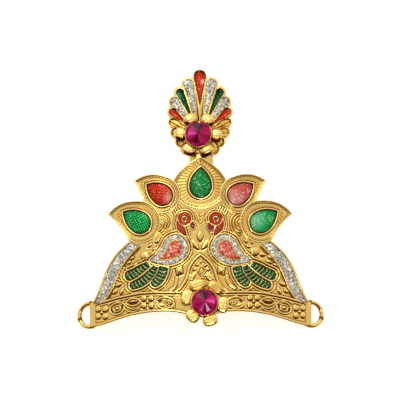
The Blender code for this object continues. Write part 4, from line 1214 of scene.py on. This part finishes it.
def plumeHeights(points):
    # each lobe is a low dome with a wedge-shaped hollow; one without filling is a trough with a fine ridge
    relief = Relief(points, plume["thick"])
    focus = np.array(plume["focus"])
    for angle, far, _, radius, *_ in plumeLobes():
        relief.dome(lobeLoop(angle, far - 0.05, 2.5, radius - 0.05), plume["ridge"], 0.5, 0.3, (0, 0))
    for angle, far, root, radius, fill, _ in plumeLobes():
        wall = plume["wall"]["top" if angle == 90 else fill]
        hollow = lobeLoop(angle, far - wall, root, radius - wall)
        if fill:
            relief.sink(hollow, plume["hollow"])
            continue
        some = relief.within(hollow)
        away = nearest(points[some], hollow)[0]
        side = np.abs((points[some] - focus) @ heading(angle + 90))
        ridge = 0.4 * halfRound(side, 0.4) * (away > 0.5)
        relief.height[some] = plume["ridge"] - 0.9 * np.sqrt(np.clip(away / 0.7, 0, 1)) + ridge
    relief.bead(plume["spear"], 0.5, plume["ridge"] + 0.4)
    return relief.surface()


def makePlume():
    angles = np.linspace(0, 2 * np.pi, plume["columns"], endpoint=False)
    aims = np.column_stack([np.cos(angles), np.sin(angles)])
    share = np.linspace(1, 0, plume["rows"])[:, None, None]
    uv = np.array(plume["focus"]) + aims[None] * plumeReach(angles)[None, :, None] * share
    w = plumeHeights(uv.reshape(-1, 2)).reshape(uv.shape[:2])
    w[0] = np.minimum(w[0], plume["edge"])
    laid = {"bend": lie["plumeBend"], "sink": lie["plumeSink"]}
    wall = wrap(uv[:1], np.stack([w[0] * 0, w[0] * 0 + 0.9, w[0]]), **laid)
    back = wrap(uv[[-1, 0]], 0.0, **laid)
    front = wrap(uv, w, **laid)
    # painted shade in the hollows and painted highlight on the ridges
    patches = [(front, True, hollowness(w, 3, 0.6, 2.8)), (wall, True, 0.5), (back, True, 0.5)]
    tab = evenLoop(np.array(plume["tab"]), 40)
    middle = tab.mean(axis=0)
    thick = plume["thick"] - 0.02
    rows = [(0, 0.02), (1, 0.02), (1, thick - 0.15), (0.985, thick), (0, thick)]
    tabUv = np.array([middle + (tab - middle) * s for s, _ in rows])
    patches.append((wrap(tabUv, np.array([[h] for _, h in rows]), **laid), True, 0.6))
    buildPiece("plumeShell", patches, gold, "gold", ["plume_shell"])

    number = {"r": 0, "l": 0}
    looks = {
        "red": (enamelled["plumeRed"], "red_enamel"), "green": (enamelled["plumeGreen"], "green_enamel"),
        "glitter": (silver, "silver_glitter")}
    for angle, far, root, radius, fill, letter in plumeLobes():
        if not fill:
            continue
        number[letter] += 1
        place = letter + str(number[letter]) if angle != 90 else "top"
        wall = plume["wall"]["top" if angle == 90 else fill] + 0.06
        loop = lobeLoop(angle, far - wall, root + 0.3, radius - wall)
        # the last value is the share of painted shade at each inlay's upper end
        patch = enamelPatch(loop, 1.15, *plume["fill"][fill], 120, lie["plumeBend"], lie["plumeSink"], 0.9)
        buildPiece("inlay_" + fill + "_" + place, [patch], *looks[fill], ["plume_" + fill + "_" + place])


makePlume()
print("plume made")

# Rosettes: six domed petals round a stone in a plain cup, with dots that are coarser than the real ones

rosettes = {
    "rows": 24, "columns": 84, "edge": 0.75, "dotPitch": 1.1, "dotRise": 0.018,
    "low": {
        "centre": (1.7, 12.0), "height": 2.2, "bend": 100.0,
        "petals": [  # direction, distance of the middle, half length outwards, half width, ribbed or dotted
            (109, 8.5, 2.4, 4.1, True), (54, 8.6, 2.6, 3.8, True), (-7, 8.4, 2.6, 3.8, False),
            (-72, 8.3, 2.7, 3.4, False), (228, 8.0, 2.7, 3.3, False), (162, 8.2, 2.6, 3.6, False)],
        "form": (2.6, 4, 1.6, 0.1),  # squareness, flatness, height of the crown and share of the painted shade at its lower end
    },
    "top": {
        "centre": (-0.6, 87.7), "height": 0.9, "bend": 60.0,
        "petals": [(57.5 + 60 * k, 8.0, 2.7, 3.2, False) for k in range(6)], "form": (2.4, 2.8, 2.2, 0.9),
        "claw": (0.4, 4.9, 4.4, 0.6),  # the bead over the stone's edge: place, height and radius
    },
    "plate": [(0, 0), (6.4, 0), (6.6, 0.15), (6.6, 0.7), (6.4, 0.85), (0, 0.85)],  # radius and height
    "cup": [
        (0, 1.1), (6.1, 1.1), (6.1, 2.95), (6.02, 3.14), (5.85, 3.2), (5.68, 3.14), (5.6, 2.95), (5.6, 1.5),
        (0, 1.5)],
}
stones = {
    "rings": [  # radius, height and half turn of each ring of corners
        (0.9, 1.8, 0), (5.95, 3.65, 0), (5.95, 3.85, 0), (4.6, 4.45, 0.5), (0.9, 5.42, 0)],
    "sectors": 16, "inner": 4.4,  # facets with their middle within this radius are inner ones
    "light": {  # the painted reflection of each inner facet, anticlockwise from the right
        "low": [0.88, 0.74, 0.45, 0.2, 0.02, 0.06, 0.3, 0.5, 0.55, 0.45, 0.62, 0.86, 0.35, 1.0, 0.45, 0.62],
        "top": [0.6, 0.5, 0.4, 0.15, 0.02, 0.02, 0.25, 0.75, 0.85, 0.62, 0.4, 0.2, 0.3, 0.65, 0.6, 0.5]},
}


def rosettePetal(aim, distance, long, wide, ribbed, square, dome, crown, crescent):
    # a rounded square, |x/a|^n + |y/b|^n = r^n, domed by 0.85 (1 - r^m)^0.5, with a grid of dots or cross
    # ribs, painted lighter on their tops and darker between them, and with painted shade towards its edge and
    # at its lower end
    ring = np.linspace(0, 2 * np.pi, rosettes["columns"], endpoint=False)[None]
    r = np.linspace(0, 1, rosettes["rows"])[:, None]
    reach = (np.abs(np.cos(ring) / long) ** square + np.abs(np.sin(ring) / wide) ** square) ** (-1 / square)
    x, y = r * reach * np.cos(ring), r * reach * np.sin(ring)
    rise = crown - rosettes["edge"]
    pitch = 2 * np.pi / rosettes["dotPitch"]
    if ribbed:
        pattern = np.cos(pitch * x) + 0 * y
    else:
        pattern = np.cos(pitch * x) + np.cos(pitch * y)
    pattern = rosettes["dotRise"] * pattern * np.clip((1 - r) / 0.2, 0, 1)
    z = rosettes["edge"] + rise * np.sqrt(1 - r**dome) * 0.85 + pattern
    c, s = heading(aim)
    # painted shade at the petal's lower end, by the crescent's share
    below = np.clip((-(x * s + y * c) / long - 0.35) / 0.3, 0, 1)
    depth = np.clip((0.55 if ribbed else 0.78) + 8.0 * pattern - 0.15 * r**6 - crescent * below, 0, 1)
    z = np.broadcast_to(z, x.shape)
    top = np.stack([x + distance, y, z], axis=-1)
    under = np.concatenate([top[-1:], top[::-1][1:]])
    under[..., 2] = rosettes["edge"] - 0.5
    spots = np.concatenate([top, under]) @ np.array([[c, s, 0], [-s, c, 0], [0, 0, 1]])
    shade = np.concatenate([depth, np.full((rosettes["rows"], rosettes["columns"]), 0.4)])
    return spots, True, shade


def turnedPatch(profile, steps=72):
    # the profile, as (radius, height) rows, turned round the upright axis
    angles = np.linspace(0, 2 * np.pi, steps, endpoint=False)
    profile = np.array(profile)
    x, y = profile[:, :1] * np.cos(angles), profile[:, :1] * np.sin(angles)
    return np.stack([x, y, profile[:, 1:] + 0 * angles], -1)


def laidDown(patch, place):
    return stiff(patch.reshape(-1, 3), place).reshape(patch.shape)


def makeStone(name, place):
    # rings of corners from foot to table; every facet is flat and has its own share of light, a painted
    # reflection
    n = stones["sectors"]
    turn = np.arange(n) * 2 * np.pi / n
    corners = []
    for radius, height, half in stones["rings"]:
        angles = turn + half * 2 * np.pi / n
        corner = [radius * np.cos(angles), radius * np.sin(angles), np.full(n, height)]
        corners.append(np.column_stack(corner))
    flat = np.vstack(corners)
    i = np.arange(n)
    j = (i + 1) % n
    faces = [tuple(range(n))[::-1], tuple(range(4 * n, 5 * n))]
    faces += list(zip(i, j, j + n, i + n)) + list(zip(i + n, j + n, j + 2 * n, i + 2 * n))
    faces += list(zip(i + 2 * n, j + 2 * n, i + 3 * n)) + list(zip(j + 2 * n, j + 3 * n, i + 3 * n))
    faces += list(zip(i + 3 * n, j + 3 * n, j + 4 * n)) + list(zip(i + 3 * n, j + 4 * n, i + 4 * n))
    faces = [[int(c) for c in face] for face in faces]
    mesh = bpy.data.meshes.new(name)
    mesh.from_pydata(stiff(flat, place).tolist(), [], faces)
    mesh.update()
    middles = np.array([flat[face].mean(axis=0) for face in faces])
    sector = np.round(np.arctan2(middles[:, 1], middles[:, 0]) / (2 * np.pi / n) - 0.25).astype(int) % n
    light = np.array(stones["light"][name])[sector]
    outer = np.hypot(middles[:, 0], middles[:, 1]) > stones["inner"]
    # the outer facets' painted reflection flickers from one to the next and darkens upwards
    rim = 0.5 - 0.03 * middles[:, 1] + 0.13 * np.cos(np.arange(len(faces)) * 2.4)
    light = np.where(outer, rim, light)
    keepDepth(mesh, np.clip(light, 0, 1), "FACE")
    finishPiece("cutStone_" + name, mesh, pinkGlass, ["stone_" + name])


def makeRosettes():
    for name in ("low", "top"):
        place = rosettes[name]
        patches = [rosettePetal(*petal, *place["form"]) for petal in place["petals"]]
        # the plate between the petals is darker gold, as painted shade
        patches.append((turnedPatch(rosettes["plate"], 60), True, 0.35))
        laid = [(laidDown(spots, place), closed, depth) for spots, closed, depth in patches]
        buildPiece("rosette_" + name, laid, gold, "gold", ["flower_" + name])
        held = [(laidDown(turnedPatch(rosettes["cup"]), place), True, 0.6)]
        if "claw" in place:
            x, y, z, radius = place["claw"]
            ball = radius * arcLine((0, 0), 1.0, -90, 90, 10) + [0, z]
            held.append((laidDown(turnedPatch(ball, 20) + [x, y, 0], place), True, 0.9))
        buildPiece("cup_" + name, held, gold, "gold", ["stone_cup_" + name])
        makeStone(name, place)


makeRosettes()
print("rosettes and stones made")

# Floor, light and camera

studio = {
    "floor": "#FFFFFF", "floorHalf": 2.0, "floorGlow": 0.6,
    "air": "#FFFFFF", "warm": "#FFB468", "lightFrom": (-0.01, 1.0, -0.38), "darkBelow": -0.82,
    "lightAbove": 0.46, "dark": 0.16, "light": 1.36, "horizonTop": 0.3, "horizon": 0.35,
    "key": {"place": (-0.3, 1.1, 1.5), "size": 0.8, "power": 9.0},
    "over": {"place": (0.1, -0.15, 1.9), "size": 0.3, "power": 5.0},
    "lens": 400.0, "distance": 2.0, "aim": (0.0, -0.0004, 0.012), "roll": -0.3,
}


def makeStudio():
    half = studio["floorHalf"]
    mesh = bpy.data.meshes.new("floor")
    corners = [(-half, -half, 0), (half, -half, 0), (half, half, 0), (-half, half, 0)]
    mesh.from_pydata(corners, [], [(0, 1, 2, 3)])
    # paper lit from below as on a light table, which leaves only a faint shadow
    paper = newMaterial("litPaper", {
        "Base Color": linear(studio["floor"]), "Roughness": 0.9, "Emission Color": linear(studio["floor"]),
        "Emission Strength": studio["floorGlow"]})[0]
    mesh.materials.append(paper)
    floor = addObject("floor", mesh)

    # the room is bright towards the plume, dark beyond the lower band and dim all round near the floor,
    # which draws the relief
    world = bpy.data.worlds.new("studioRoom")
    world.use_nodes = True
    tree = world.node_tree
    background = tree.nodes["Background"]
    place = addNode(tree, "TexCoord")
    towards = addNode(tree, "VectorMath", {
        "operation": "DOT_PRODUCT", 0: place.outputs["Generated"], 1: studio["lightFrom"]})
    rise = addNode(tree, "MapRange", {
        "interpolation_type": "SMOOTHSTEP", "From Min": studio["darkBelow"],
        "From Max": studio["lightAbove"], "Value": towards.outputs["Value"]})
    tint = colourRamp(tree, rise.outputs["Result"], [(0.0, studio["warm"]), (0.45, studio["air"])])
    tree.links.new(tint, background.inputs["Color"])
    bright = addNode(tree, "MapRange", {
        "To Min": studio["dark"], "To Max": studio["light"], "Value": rise.outputs["Result"]})
    height = addNode(tree, "SeparateXYZ", {"Vector": place.outputs["Generated"]})
    horizon = addNode(tree, "MapRange", {
        "From Min": 0.0, "From Max": studio["horizonTop"], "To Min": studio["horizon"], "To Max": 1.0,
        "Value": height.outputs["Z"]})
    strength = addNode(tree, "Math", {
        "operation": "MULTIPLY", 0: bright.outputs["Result"], 1: horizon.outputs["Result"]})
    tree.links.new(strength.outputs[0], background.inputs["Strength"])
    bpy.context.scene.world = world

    for name in ("key", "over"):
        values = studio[name]
        lamp = bpy.data.lights.new(name, "AREA")
        lamp.size = values["size"]
        lamp.energy = values["power"]
        light = addObject(name, lamp)
        light.location = values["place"]
        light.rotation_euler = (Vector((0, 0, 0)) - light.location).to_track_quat("-Z", "Y").to_euler()

    lens = bpy.data.cameras.new("camera")
    lens.lens = studio["lens"]
    lens.clip_end = 20.0
    camera = addObject("camera", lens)
    camera.location = Vector(studio["aim"]) + Vector((0, 0, studio["distance"]))
    camera.rotation_euler = (0, 0, math.radians(studio["roll"]))
    bpy.context.scene.camera = camera
    bpy.context.scene.view_settings.view_transform = "Standard"


makeStudio()
print("studio set")
